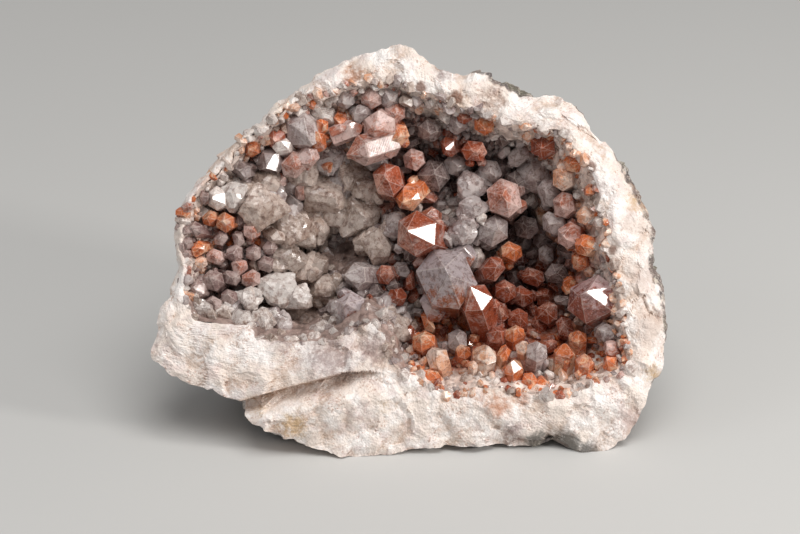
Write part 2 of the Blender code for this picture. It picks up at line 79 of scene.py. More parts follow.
MOUTH = (
    (-3.2, 57.3), (2.6, 54.1), (15.7, 49.9), (24.6, 48.0), (35.2, 43.5), (47.7, 42.0), (57.9, 28.9),
    (61.8, 15.4), (63.2, 4.2), (67.2, -10.6), (69.1, -25.0), (70.4, -33.3), (59.5, -39.0),
    (54.0, -41.9), (31.0, -40.3), (19.5, -40.6), (11.1, -41.9), (4.2, -38.1), (-3.8, -33.9),
    (-8.0, -25.0), (-12.5, -19.2), (-20.8, -23.4), (-31.2, -25.3), (-49.0, -24.3), (-51.2, -20.2),
    (-68.8, -18.6), (-73.0, -9.0), (-72.0, -1.0), (-73.2, 9.0), (-71.7, 17.3), (-61.4, 28.8),
    (-47.4, 42.9), (-33.6, 52.8), (-18.6, 57.6),
)
RIM_DIRECTIONS = (0, 30, 60, 90, 130, 150, 180, 200, 215, 240, 270, 300, 330, 360)
EDGE_OUT = (-5.0, -5.0, -4.5, -4.0, -7.0, -7.0, -7.0, -2.0, 0.0, 0.0, -1.5, -4.5, -4.0, -5.0)
MOUTH_OUT = (0.0, 0.0, -1.0, -1.5, -2.0, -3.0, -4.0, 0.5, 3.0, 3.0, 2.5, 2.0, 1.0, 0.0)
CRACK_U = (-82.0, -53.0, -40.0, -31.5, -20.8, -13.0, -4.0, 20.0)
CRACK_V = (-52.0, -44.0, -40.2, -38.0, -35.2, -34.8, -36.5, -46.0)
CRACK_FADE = (-25.0, -6.0)
SLAB_OUT = 3.4
BLOCK_DROP = 3.6
BLOCK_SLOPE = 9.0
BLOCK_OUT = 5.0
SLAB_FADE = (14.0, 1.0)  # above the crack, between which the slab's lip grows
BLOCK_EDGE = (BLOCK_SLOPE + 3.0, BLOCK_SLOPE + 12.0)  # below the crack, between which the block falls back
BLOCK_EDGE_DROP = 4.0
RIM_CROWN = 1.2
RIM_LUMP, RIM_LUMP_SIZE = 1.1, 14.0
HOLLOW_LUMP, HOLLOW_LUMP_SIZE, HOLLOW_LUMP_LAYER = 1.2, 11.0, 30.0
BODY_AROUND = 68
BODY_TURNS = (0.0, 7.0, 16.0, 26.0, 36.0, 46.0, 56.0, 66.0, 78.0)
HOLLOW_DEPTH = 30.0
HOLLOW_FOCUS = (0.0, 5.0, 22.0)
HOLLOWS = (
    (42.0, 2.0, 24.0, 20.0), (34.0, 30.0, 16.0, 9.0), (-26.0, 4.0, 14.0, 9.0),
    (-33.0, -17.0, 10.0, 6.0), (-30.0, 23.0, 12.0, 8.0), (8.0, 36.0, 13.0, 6.0),
    (12.0, 2.0, 13.0, -14.0), (-50.0, 10.0, 15.0, -7.0), (-64.0, 4.0, 13.0, -5.0),
    (-30.0, 42.0, 13.0, -9.0), (-9.0, 46.0, 10.0, -7.0), (-14.0, -12.0, 9.0, -6.0),
    (30.0, -34.0, 18.0, -6.0),
)
CHIPS = (
    (18, 30, 5.0), (66, 26, 5.5), (104, 44, 7.0), (150, 30, 5.0), (186, 46, 6.0), (336, 50, 6.5),
    (40, 58, 7.0), (222, 30, 4.5), (296, 38, 5.5), (84, 72, 5.0), (2, 76, 5.0), (350, 16, 3.0),
    (172, 14, 3.5), (126, 14, 3.0), (262, 62, 6.0), (140, 66, 6.5),
)
CHIP_KEEP = 0.15

# How much of the rim is rind, inwards from its outer edge, by direction in degrees.
RIND_DIRECTIONS = (0, 20, 30, 45, 55, 65, 75, 85, 95, 180, 235, 285, 300, 310, 318, 340, 360)
RIND_WIDTH = (
    0.4, 0.36, 0.18, 0.06, 0.2, 0.34, 0.14, 0.02, -0.1, -0.1, -0.02, 0.02, 0.14, 0.36, 0.1, 0.24, 0.4,
)

# The meshes of the rock and the bed: steps round the stone, and rings over the hollow, the rim and the
# outside.
FEWER = 1
AROUND = 660 // FEWER
HOLLOW_RINGS = 18
RIM_RINGS = 58 // FEWER
OUTSIDE_RINGS = 64 // FEWER
BED_AROUND = 420 // FEWER
BED_RINGS = 100 // FEWER

# Crystals: u, v, w of the head's middle, radius, lean to the right and upwards, turn, look, and for a
# crystal with a face that mirrors the lamp, the direction of that face from the tip.
CRYSTALS = (
    (2.2, 9.3, -7, 7.7, -27, 3, 0, "R", -6), (11.8, -5.2, -8, 11, 0, 13, 24, "T"),
    (20.8, -11.6, -8.5, 6, -10, 12, 20, "R", -46), (58.8, -11.6, -6.5, 8.9, -19, 15, 4, "V", -14),
    (-7, 26.6, -10, 6, -8, 8, 15, "R"), (-0.6, 20.5, -11, 4.8, -20, 15, 0, "O", 28),
    (30.6, 20.8, -13, 6.6, -4, 5, 10, "K"), (12.5, 37.4, -14, 3.7, -5, -4, 0, "R", 20),
    (21.1, 35.8, -11, 4.5, 4, -5, 25, "R"), (24, 44, -6.5, 3.8, 0, -25, 0, "O"),
    (1.3, 33.4, -15, 4.1, -5, 0, 12, "K"), (7.7, 28.2, -19, 5.8, 0, 5, 20, "D"),
    (30.4, 40.3, -13, 3.3, 6, -18, 0, "D", 0), (30, 31, -22, 4, 0, 0, 8, "D"),
    (27.2, 10.2, -16, 5.8, 12, 0, 0, "G"), (38.7, 11.5, -27, 4.4, 0, 0, 14, "D"),
    (33.3, 3.5, -18, 4, 8, 12, 6, "O"), (-17.6, -4.5, -13, 5.2, -48, 4, 10, "G"),
    (-19.5, -14.7, -9, 5.8, -16, 12, 0, "T"), (-8.3, -4.2, -13, 3.8, -20, 0, 22, "R"),
    (43, 37.4, -8, 4.8, -12, -12, 0, "R"), (38.4, 41.4, -8, 2.9, -8, -26, 18, "P", -20),
    (40.6, 28.3, -19, 6.2, -5, -2, 12, "G"), (49.3, 27.2, -8.5, 4.2, -16, 0, 0, "P"),
    (52.8, 32.3, -5.5, 4, -24, -12, 20, "O"), (49.6, 18.6, -10, 4.5, -17, 5, 10, "K"),
    (51.5, 8.8, -10.5, 4.6, -22, 0, 0, "K"), (56.3, 5.4, -6.5, 3.9, -24, 5, 14, "O"),
    (55, 0, -10, 3.5, -20, -8, 0, "O"), (48.3, -3.8, -22, 4.3, -6, 0, 24, "D"),
    (62.4, -22.4, -6, 4, -30, 20, 0, "G"), (64.3, -27.4, -3.5, 3.2, -34, 24, 10, "K"),
    (64.3, -32.3, -3.5, 3.4, -30, 32, 0, "O"), (56.5, 15, -7, 3.4, -28, 0, 10, "P"),
    (4.2, -25.6, -8.5, 4.4, -10, 28, 0, "O"), (9, -31, -4.5, 4.7, -10, 34, 16, "P"),
    (15.4, -25.3, -12, 4.1, 0, 20, 0, "G"), (17.3, -28.8, -8, 2.9, 4, 30, 12, "O"),
    (24, -29.8, -5, 4.6, 12, 50, 0, "P"), (28.8, -23.7, -14, 4.1, 6, 24, 20, "R"),
    (34, -23.2, -13, 3.6, -4, 30, 0, "O"), (36.4, -27.6, -8.5, 2.9, -8, 38, 10, "P"),
    (40.8, -28.8, -6.5, 4.5, 6, 40, 0, "G"), (33, -33.9, -4, 3.8, -6, 48, 14, "O"),
    (6, -36.4, -2.5, 3.5, -32, 42, 0, "O"), (49.9, -28.8, -7, 3.7, 5, 58, 10, "O"),
    (54.4, -24.3, -10.5, 3.3, 0, 40, 0, "O"), (56.3, -32, -4.5, 3.5, 0, 50, 18, "O"),
    (45.1, -16.6, -21, 4.2, -10, 16, 0, "R"), (40.6, -4.8, -27, 4.2, -8, 4, 12, "R"),
    (36.8, -11.2, -24, 4.2, -4, 10, 0, "R"), (27.2, -2.2, -15.5, 4.6, 16, 8, 20, "R"),
    (31.4, -9.4, -19.5, 4, 10, 12, 0, "R"), (28.8, -16.4, -17, 4, 4, 18, 10, "R"),
    (35.4, -18.4, -19, 3.9, 0, 22, 0, "R"), (50.5, -21, -16, 3.7, -8, 20, 16, "R"),
    (-12.5, 52.6, -6, 3.9, -14, -12, 0, "K"), (-16.4, 47.6, -6.5, 3.7, -26, -10, 12, "G"),
    (-6.6, 53, -6, 4, 0, -16, 0, "G"), (-15.6, 35.8, -6, 5.6, -66, -38, 8, "K"),
    (-10, 43.4, -6, 6, -14, -16, 0, "K"), (-4.2, 40.8, -8, 4.8, 6, -14, 20, "O"),
    (-5, 48.2, -7.5, 4, 10, -14, 0, "K"), (-45.4, 31.7, -7, 4.8, -12, -8, 0, "D", 40),
    (-37.1, 31, -6.5, 4.9, 8, -14, 14, "K"), (-33.6, 41.4, -7, 7.4, 24, -34, 0, "G"),
    (-27.6, 47, -8, 4.8, 14, -14, 18, "W"), (-54.4, 29.6, -5.5, 3.9, -20, -6, 0, "D"),
    (-43, 39.6, -6, 3.6, -10, -20, 10, "R"), (-51, 36.4, -5.5, 2.9, -18, -14, 0, "O"),
    (-59.5, 12.8, -6, 3.6, -8, 0, 0, "O"), (-64.8, 14.2, -5.5, 2.8, -14, 4, 12, "O"),
    (-68.4, 4.2, -5.5, 3.2, -18, 0, 0, "O"), (-61.1, 7.6, -7.5, 2.8, -6, 0, 20, "L"),
    (-56.6, 2.8, -7.5, 3.1, -4, 0, 0, "L"), (-63, 1.8, -6.5, 3, -10, 4, 10, "K"),
    (-69, 10.6, -5, 3.1, -24, 6, 0, "L"), (-63.5, -5.8, -6.5, 3.8, -8, 10, 14, "L"),
    (-68.6, -8.6, -5, 3.2, -16, 10, 0, "L"), (-57.6, -5, -8, 3.4, 0, 8, 18, "L"),
    (-51.2, -5.4, -8.5, 3.5, 6, 6, 0, "K"), (-58.2, -11.2, -6.5, 3.1, -4, 14, 10, "L"),
    (-63.4, -13.2, -5, 3, -12, 16, 0, "L"), (-46.4, -0.6, -11, 3.3, 10, 0, 12, "L"),
    (-50.6, 3, -9.5, 2.9, 4, 0, 0, "L"), (-45.2, 4.8, -11.5, 2.9, 8, -4, 20, "L"),
    (-51, 10.4, -7.5, 3.4, 4, 6, 0, "K"), (-55.4, 7.6, -8, 2.7, 0, 4, 14, "L"),
    (-62.2, 20.4, -5, 4.2, -14, -6, 0, "W", 0), (-41.2, 37.6, -4.5, 3.3, 0, 0, 0, "W", -30),
    (-29.4, 38.6, -5, 3.7, 20, -20, 12, "O"), (-28.2, 43.6, -5.5, 3, 16, -10, 0, "O"),
    (-32.6, 33.4, -5.5, 4, 10, -24, 20, "K"), (-21, 52.2, -6, 3.4, -10, -20, 6, "G"),
    (-18.2, 43, -7.5, 3.6, -30, -8, 0, "K", -150), (-12, 38.6, -8, 3.8, -10, -30, 10, "R"),
    (-7.4, 36.6, -8.5, 4.2, -8, -30, 24, "K"), (46.5, 12.6, -14, 4.6, -20, 0, 6, "G"),
    (45.2, 22.4, -14.5, 4.8, -18, -4, 20, "G"), (35.6, 25.6, -19, 5, -8, 0, 4, "D"),
    (15.6, 31.6, -19, 4.8, 0, -4, 14, "G"), (26.2, 29.4, -17.5, 4.6, 0, -8, 22, "G"),
    (35.4, 34.4, -15, 4.2, -4, -14, 8, "G"), (6.6, 42.6, -11.5, 4.2, 0, -20, 12, "D"),
    (15.6, 44.4, -8.5, 3.8, 0, -24, 2, "G"),
)

# Looks: colour of the clear quartz, colour of what has grown in it, how much of it, material.
LOOKS = {
    "R": ((204, 152, 134), (158, 78, 52), 0.64, "red"),
    "O": ((236, 190, 156), (212, 114, 64), 0.62, "red"),
    "P": ((240, 216, 200), (226, 166, 130), 0.5, "red"),
    "K": ((208, 176, 168), (178, 110, 88), 0.5, "red"),
    "V": ((180, 150, 150), (138, 76, 62), 0.56, "red"),
    "T": ((208, 194, 196), (178, 98, 62), 0.3, "grey"),
    "G": ((212, 200, 197), (172, 154, 152), 0.42, "grey"),
    "L": ((212, 188, 182), (162, 130, 126), 0.46, "grey"),
    "D": ((168, 150, 147), (114, 96, 92), 0.48, "grey"),
    "W": ((240, 230, 224), (214, 196, 186), 0.36, "milky"),
    "M": ((212, 194, 183), (172, 149, 136), 0.46, "milky"),
}

# What the small crystals look like from place to place: u, v, one letter for each chance.
ZONES = (
    (-64, 4, "LLLLKDG"), (-60, -8, "LLLKG"), (-60, 14, "OOLLK"), (-50, 20, "MMMGW"), (-38, 8, "MMMMG"),
    (-25, 18, "MMGG"), (-20, 0, "MGGD"), (-28, -12, "MMGGD"), (-45, 36, "RKPOW"), (-30, 44, "KPOGW"),
    (-10, 46, "KKGGO"), (2, 40, "DDGG"), (12, 36, "GGGDRK"), (25, 32, "GGGGD"), (45, 36, "GGWKO"),
    (55, 20, "PPWKOG"), (55, 2, "GOOKR"), (38, 10, "DDDG"), (45, -10, "RRDDRV"), (36, -20, "RRRVRD"),
    (30, -30, "OOORRPW"), (10, -28, "OPOGRK"), (50, -30, "OORPK"), (62, -25, "OPKG"), (0, 5, "RGKD"),
    (-5, -12, "GGDMR"), (12, 10, "GGGW"), (-45, -14, "MMMW"),
)

# Spots on the rock: u, v, radius, colour, strength.
NO_SPOT = (0.8, 0.7, 0.6, 0.0)
RUST_STAIN, OCHRE, LILAC = (176, 112, 72), (196, 160, 112), (190, 166, 160)
# The rim's shade colour is painted shade: it darkens the cream of the right rim, where the lamp lights it
# strongly.
CREVICE_RUST_AND_SHADE, RIM_PAINTED_SHADE = (116, 70, 44), (204, 186, 176)
SHELF_GREY = (150, 128, 125)
RIND_TONE, PURPLE_STAIN, GREEN_ROCK = (128, 108, 104), (120, 88, 84), (80, 79, 74)
SPOTS = (
    (28, -46, 6, RUST_STAIN, 0.8), (36, -43, 5, RUST_STAIN, 0.7), (22, -42, 5, RUST_STAIN, 0.6),
    (-37, -52, 6, OCHRE, 0.8), (-79, -28, 5, PURPLE_STAIN, 0.6), (-25, -30, 12, SHELF_GREY, 0.8),
    (-12, -28, 8, SHELF_GREY, 0.8), (-40, -25, 8, SHELF_GREY, 0.65), (-62, -26, 12, OCHRE, 0.3),
    (73, 19, 6, OCHRE, 0.7), (78, -36, 5, OCHRE, 0.7), (70, -50, 6, LILAC, 0.8),
    (26, 52, 9, PURPLE_STAIN, 0.55), (11, 60, 5, PURPLE_STAIN, 0.65), (33, -55, 6, PURPLE_STAIN, 0.7),
    (50, -59, 6, GREEN_ROCK, 1.1), (41, -57.5, 5, GREEN_ROCK, 1.0), (57, -61.5, 5, GREEN_ROCK, 1.1),
    (-20, -60, 6, RIND_TONE, 0.4), (-8, -46, 6, OCHRE, 0.5), (-16, -48, 7, LILAC, 0.6),
    (-60, -44, 5, RIND_TONE, 0.4), (80, -5, 6, RIND_TONE, 0.6), (80, -18, 6, RIND_TONE, 0.6),
    (79, 8, 6, RIND_TONE, 0.5), (-18, 60, 5, RUST_STAIN, 0.7), (-26, 54, 6, RUST_STAIN, 0.5),
    (-50, 38, 6, RUST_STAIN, 0.5), (-66, 24, 6, RUST_STAIN, 0.6), (-40, 50, 7, OCHRE, 0.5),
    (62, 34, 5, OCHRE, 0.4), (24, 45, 5, OCHRE, 0.4), (68, -4, 5, OCHRE, 0.4), (-48, -47, 5, OCHRE, 0.5),
    # Rust-brown spots at the mouth's edge, darkened as painted shade of small crevices.
    (3.4, 56.2, 2.0, CREVICE_RUST_AND_SHADE, 1.3), (15, 52.8, 2.4, CREVICE_RUST_AND_SHADE, 1.3), (57.8, 30.2, 2.2, CREVICE_RUST_AND_SHADE, 1.3),
    (64.6, 4, 2.0, CREVICE_RUST_AND_SHADE, 1.0), (74, -5, 9, RIM_PAINTED_SHADE, 0.8), (76, -22, 9, RIM_PAINTED_SHADE, 0.8),
    (72, 12, 8, RIM_PAINTED_SHADE, 0.7),
)

# Milky blocks: u, v, w, radius, look.
BLOCK_SEED = 500
BLOCK_FACES = 13
GOLDEN_ANGLE = 2.39996  # spreads a block's faces evenly round it
BLOCKS = (
    (-48, 18, -7, 8.5, "M"), (-39, 11, -13, 8, "M"), (-40, 2, -14, 7.5, "M"), (-28, 22, -21, 11, "M"),
    (-31, 11, -20, 7, "M"), (-17, 16, -20, 8, "M"), (-11, 5, -17, 6.5, "M"), (-43, -9, -11, 7, "W"),
    (-28, -9, -18, 6, "M"), (-8, -15, -13, 6, "G"), (-5, -22, -10, 6, "M"), (-36, 30, -16, 8, "M"),
    (-20, 29, -20, 8, "M"), (-52, -12, -7, 4.5, "W"), (-36, -12, -10, 5, "W"), (-57, 22, -6, 6, "W"),
    (-46, 26, -9, 6, "M"), (-26, 34, -17, 7, "G"), (-14, -6, -17, 5, "M"), (-15, 24, -18, 6, "M"),
    (20.2, 24.3, -15, 5.6, "G"), (20.5, 17, -13, 5.4, "W"), (17.3, 9.8, -11.5, 5, "G"),
    (-22, -17, -10, 5, "G"), (-60, -16, -5, 4, "W"), (-47, -19, -6, 5, "W"), (-41, -20, -7, 4.4, "G"),
    (-28, -22.5, -7, 4, "W"), (-57, -14, -7, 4, "G"), (-66, -15, -4, 3.6, "W"), (-15, -18.5, -8, 4, "G"),
    (-34, -2, -18, 6, "M"), (-5, 12, -16, 5.5, "M"), (-54, -19, -3, 4.5, "W"),
)

# Dark pits where nothing grows: u, v, radius.
PITS = ((-33.2, -17.6, 4.6), (-20.5, 1.8, 6.0), (14.4, -36.4, 3.0), (43.8, -33.6, 3.0), (57.4, -27.4, 2.6))

# The fine tables hold an outline's radius, and other values of a direction, for so many directions.
FINE = 7200
FINE_ANGLES = np.arange(FINE) * math.tau / FINE
MOUTH_WAVES = ((1.3, 7.0), (0.9, 2.6))  # how far the mouth wanders in and out, and over what length

# Relief: the size and slope of the large broken faces, those of the small ones, and where these are read.
RIM_BREAKS = ((9.0, 0.2), (3.0, 0.13), (40, 9, 3))
OUTSIDE_BREAKS = ((11.0, 0.34), (4.0, 0.36), (4, 90, 3))
EDGE_BREAKS = ((6.0, 0.26), (2.2, 0.2), (7, 7, 5))
BED_BREAKS = ((10.0, 0.6), (3.6, 0.5), (5, 5, 30))
BLOCK_BREAKS = ((4.4, 0.2), (1.7, 0.16), (9, 2, 40))
EDGE_PATH = 78.0  # radius of the circle along which the outer edge's breaks are read
RIM_GRAIN, OUTSIDE_GRAIN = 0.16, 0.45
FIBRE_RELIEF, FIBRE_TWIST = 0.1, 0.5
LIPS_MIDDLE, LIPS_WIDTH = 0.55, 0.006  # which rings of the rim follow the crack's lips, and how near
THIN_RIND = 0.62  # how strongly the rind shows where it is worn

# The bed that the crystals stand on.
BED_LIFT, BLOCKS_LIFT = 3.4, 4.0  # over the rock, and the more where milky blocks stand
BED_POINTS = (3.2, 1.3)  # sizes of its coarse and fine points
ZONE_BLEND = 90
FAR_FROM_ZONES = (120, 110, 105)
MOUTH_WHITE, MOUTH_GREY = (242, 230, 224), (168, 148, 143)

# The light and the view, in the face frame. Mirrored crystals are turned by these places.
LAMP_ANGLE = 62.0  # between the view and the lamp on the right, seen from the face
LAMP_RISE = 6.0
LAMP_DISTANCE = 750.0
LAMP_TARGET = Vector((0.0, 0.0, -5.0))
VIEW_PLACE = Vector((-3.2, -1.6, 853.0))
ROOM_LIGHT = ((0.86, 0.86, 0.86, 1.0), 0.29)
FLOOR_REACH = 7.0

# Crystals.
CHAMFER_FROM = 1.9  # the radius from which a crystal's edges are cut
CHAMFER, BIG_CHAMFER = 0.1, 0.17
SHORTEST_EDGE = 0.24
LONGEST, LONGEST_LYING = 7, 2.1  # times the radius
BUDS_FROM = 3.0  # the radius from which small crystals grow out of a crystal's sides
COLOUR_SLOPE = 0.3  # how much more has grown in one side of a crystal than in the middle
FIXED_SLOPES = {"T": Vector((0.05, -0.42, 0.0)), "V": Vector((-0.05, -0.3, 0.0))}
RINGS = {"K": -0.35, "R": 0.3, "O": 0.1, "G": 0.15, "L": 0.2}  # how much more has grown near the sides
QUARTZ_IOR = 1.54

# Small crystals: how many, their radii, how near each other, and how far from the middle to the mouth.
SMALL_SEED = 41
SMALL_CRYSTALS = (
    (430, (2.1, 4.5), 0.62, (0.0, 0.97)), (900, (1.0, 2.3), 0.5, (0.0, 0.99)),
    (420, (1.2, 3.0), 0.38, (0.88, 1.0)),
)

# Each kind's piece and its material: name, transmission, roughness, painted highlight on the edges, size of
# the inclusions.
CRYSTAL_FINISHES = {
    "red": ("hematoid_crystals", ("hematoid_quartz", 0.08, 0.12, 0.3, 2.4)),
    "grey": ("smoky_crystals", ("smoky_quartz", 0.3, 0.1, 0.4, 3.4)),
    "milky": ("milky_crystals", ("milky_quartz", 0.2, 0.18, 0.4, 3.0)),
}


def polar(angle, radius):
    return radius * math.cos(angle), radius * math.sin(angle)


def face_point(u, v, w):
    """A point of the face frame, in millimetres, as a point of the row frame in metres."""
    forward = math.cos(LEAN) * w - math.sin(LEAN) * v
    up = math.cos(LEAN) * v + math.sin(LEAN) * w
    return Vector((u + FACE_RIGHT, -forward - FACE_FORWARD, up + FACE_HEIGHT)) * MM


def by_direction(points):
    """A closed outline as angles and radii, ready for interpolation."""
    angles = [math.atan2(v, u) % math.tau for u, v in points]
    radii = [math.hypot(u, v) for u, v in points]
    order = np.argsort(angles)
    return np.array(angles)[order], np.array(radii)[order]


def fine_table(outline):
    """An outline's radius in each of the fine directions."""
    return np.interp(FINE_ANGLES, *outline, period=math.tau).tolist()


def fine_values(directions, values):
    return np.interp(np.degrees(FINE_ANGLES), directions, values).tolist()


OUTLINE_FINE = fine_table(by_direction(OUTLINE))
MOUTH_FINE = fine_table(by_direction(MOUTH))
for index, angle in enumerate(FINE_ANGLES):
    around = Vector((*polar(angle, 1.0), 0.0)) * MOUTH_FINE[index]
    MOUTH_FINE[index] += sum(far * noise.noise(around / length) for far, length in MOUTH_WAVES)
EDGE_OUT_FINE = fine_values(RIM_DIRECTIONS, EDGE_OUT)
MOUTH_OUT_FINE = fine_values(RIM_DIRECTIONS, MOUTH_OUT)
RIND_FINE = fine_values(RIND_DIRECTIONS, RIND_WIDTH)


def look_up(table, angle):
    place = (angle % math.tau) / math.tau * FINE
    index = int(place)
    here, after = table[index % FINE], table[(index + 1) % FINE]
    return here + (after - here) * (place - index)


def smooth_step(low, high, x):
    t = min(1.0, max(0.0, (x - low) / (high - low)))
    return t * t * (3 - 2 * t)


def lumps(u, v, w, size):
    return noise.fractal(Vector((u, v, w)) / size, 0.9, 2.1, 3)


def grain(point, size):
    return noise.fractal(point / size, 0.8, 2.2, 3)


def piecewise(x, xs, ys):
    if x <= xs[0]:
        return ys[0]
    for i in range(1, len(xs)):
        if x < xs[i]:
            return ys[i - 1] + (ys[i] - ys[i - 1]) * (x - xs[i - 1]) / (xs[i] - xs[i - 1])
    return ys[-1]


def crack_step(u, v):
    """How far the face stands out or lies back at the lower left, on either side of the crack."""
    fade = 1 - smooth_step(*CRACK_FADE, u)
    if fade <= 0:
        return 0.0
    above = v - piecewise(u, CRACK_U, CRACK_V)
    if above > 0:
        return fade * SLAB_OUT * smooth_step(*SLAB_FADE, above)
    below = -above
    sloped_top = BLOCK_OUT * smooth_step(0.0, BLOCK_SLOPE, below)
    lower_edge = BLOCK_EDGE_DROP * smooth_step(*BLOCK_EDGE, below)
    return fade * (sloped_top - BLOCK_DROP * smooth_step(BLOCK_SLOPE, 0.0, below) - lower_edge)


def rim_place(angle, share):
    """u and v of the broken rim, this share of the way from the mouth to the outer edge."""
    inner = look_up(MOUTH_FINE, angle)
    return polar(angle, inner + (look_up(OUTLINE_FINE, angle) - inner) * share)


def rim_out(angle, share):
    u, v = rim_place(angle, share)
    level = look_up(MOUTH_OUT_FINE, angle)
    level += (look_up(EDGE_OUT_FINE, angle) - level) * share**1.6
    crown = RIM_CROWN * math.sin(math.pi * share)
    return level + crown + crack_step(u, v) + RIM_LUMP * lumps(u, v, 0.0, RIM_LUMP_SIZE)


def rim_point(angle, share):
    return Vector((*rim_place(angle, share), rim_out(angle, share)))


def hollow_place(angle, share):
    return polar(angle, look_up(MOUTH_FINE, angle) * share)


def hollow_out(angle, share):
    """w of the rock inside the hollow, this share of the way from its middle to the mouth."""
    u, v = hollow_place(angle, share)
    depth = HOLLOW_DEPTH
    for at_u, at_v, size, more in HOLLOWS:
        depth += more * math.exp(-((u - at_u) ** 2 + (v - at_v) ** 2) / size**2)
    bowl = max(0.0, 1 - share**WALL_RISE) ** (1 / WALL_RISE)
    lump = HOLLOW_LUMP * lumps(u, v, HOLLOW_LUMP_LAYER, HOLLOW_LUMP_SIZE)
    return rim_out(angle, 0.0) * share**4 - depth * bowl + lump * bowl


def hollow_point(angle, share):
    return Vector((*hollow_place(angle, share), hollow_out(angle, share)))


def round_outline():
    """The outline with its corners averaged away, by direction."""
    angles = np.linspace(0.0, math.tau, 73)[:-1]
    window = np.radians(np.linspace(-ROUND_SPREAD, ROUND_SPREAD, 13))
    radii = [np.mean([look_up(OUTLINE_FINE, angle + turn) for turn in window]) for angle in angles]
    return angles, np.array(radii)


ROUND_FINE = fine_table(round_outline())


def body_point(angle, turn):
    """A point of the plain body: the outline at its edge, rounder further back."""
    sine, cosine = math.sin(math.radians(turn)), math.cos(math.radians(turn))
    rounder = smooth_step(*ROUNDING, turn)
    radius = look_up(OUTLINE_FINE, angle)
    radius += (look_up(ROUND_FINE, angle) - radius) * rounder
    inwards = max(0.0, cosine) ** (2 / SIDE_SQUARENESS)
    u = BACK_POLE[0] + (radius * math.cos(angle) - BACK_POLE[0]) * inwards
    v = BACK_POLE[1] + (radius * math.sin(angle) - BACK_POLE[1]) * inwards
    edge_w = rim_out(angle, 1.0)
    return Vector((u, v, edge_w - (BACK_DEPTH + edge_w) * sine ** (2 / BACK_SQUARENESS)))


def chip_planes():
    """The chips as unit normals and distances from the middle of the face."""
    body = [body_point(math.tau * i / BODY_AROUND, turn) for i in range(BODY_AROUND) for turn in BODY_TURNS]
    planes = []
    for around, backwards, bite in CHIPS:
        around, backwards = math.radians(around), math.radians(backwards)
        normal = Vector((*polar(around, math.cos(backwards)), -math.sin(backwards)))
        planes.append((normal, max(point.dot(normal) for point in body) - bite))
    return planes


CHIP_PLANES = chip_planes()


def outwards_from(point):
    """The direction in which the outside's relief stands here."""
    return Vector((point.x - BACK_POLE[0], point.y - BACK_POLE[1], point.z * 0.8)).normalized()


def outside_point(angle, turn):
    """A point of the rind: turn goes from 0 degrees at the outer edge to 90 at the back."""
    point = body_point(angle, turn)
    back_from_edge = smooth_step(0.0, 12.0, turn)
    for normal, distance in CHIP_PLANES:
        over = point.dot(normal) - distance
        if over > 0:
            point = point - normal * over * (1 - CHIP_KEEP) * back_from_edge
    return point + outwards_from(point) * BACK_LUMP * back_from_edge * lumps(*point, BACK_LUMP_SIZE)


def rest_on_floor(point):
    """Wears the underside flat: its feet lie on the floor, and the rest of it rises a little."""
    rise = FOOT_HOLLOW
    for foot_x, foot_y in FEET:
        away = math.hypot(point.x / MM - foot_x, point.y / MM - foot_y)
        rise = min(rise, FOOT_HOLLOW * smooth_step(FOOT_RADIUS, 1.6 * FOOT_RADIUS, away))
    return Vector((point.x, point.y, max(point.z, rise * MM)))


def broken(point, size, slope):
    """Height of a broken surface: small flat faces, each tilted its own way, with short slopes between."""
    place = point / size
    distances, corners = noise.voronoi(place)
    heights = []
    for corner in corners[:2]:
        tilt = noise.cell_vector(corner * 7.3 + Vector((3.1, 1.7, 9.2))) * 2 - Vector((1, 1, 1))
        heights.append(tilt.dot(place - corner))
    own = 0.5 + 0.5 * smooth_step(0.0, 0.22, distances[1] - distances[0])
    return (heights[0] * own + heights[1] * (1 - own)) * slope * size


def rubble(point, large, small, shift):
    """Large broken faces with small ones on them, each given by size and slope."""
    return broken(point, *large) + broken(point + Vector(shift), *small)


def linear(colour):
    """A colour as red, green and blue from 0 to 255, as the renderer's own values."""
    return [c / 255 / 12.92 if c <= 10 else ((c / 255 + 0.055) / 1.055) ** 2.4 for c in colour]


def add_object(name, data):
    obj = bpy.data.objects.new(name, data)
    bpy.context.scene.collection.objects.link(obj)
    return obj


def finish_mesh(name, verts, faces, attributes):
    """A piece from points of the row frame, with its attributes: kind, values, and domain if not POINT."""
    mesh = bpy.data.meshes.new(name)
    mesh.from_pydata([tuple(vert) for vert in verts], [], faces)
    for key, (kind, values, *domain) in attributes.items():
        layer = mesh.attributes.new(key, kind, *(domain or ["POINT"]))
        field = {"FLOAT": "value", "FLOAT_VECTOR": "vector", "FLOAT_COLOR": "color"}[kind]
        layer.data.foreach_set(field, np.asarray(values, dtype=np.float32).ravel())
    mesh.update()
    return add_object(name, mesh)


def ring_quads(rings, around):
    """Quads between each ring of points and the next."""
    quads = []
    for start in range(0, (rings - 1) * around, around):
        for i in range(around):
            j = (i + 1) % around
            quads.append((start + i, start + around + i, start + around + j, start + j))
    return quads


def fan(start, around, middle):
    return [(start + i, start + (i + 1) % around, middle) for i in range(around)]


def fibre_place(angle, radius):
    """Where a point of the rim lies across and along the fibres of the quartz."""
    twist = FIBRE_TWIST * smooth_step(0.1, -0.5, math.sin(angle))
    turned = angle + twist * (radius - 60) / 30
    return (*polar(turned, 75), radius / 6)


def crack_share(angle):
    """How far from the mouth to the outer edge the crack lies in this direction, and how strong it is."""
    if math.sin(angle) > -0.2:
        return 1.0, 0.0
    for step in range(201):
        share = step / 200
        u, v = rim_place(angle, share)
        if v < piecewise(u, CRACK_U, CRACK_V):
            return share, (1 - smooth_step(*CRACK_FADE, u)) * smooth_step(0.04, 0.3, share)
    return 1.0, 0.0


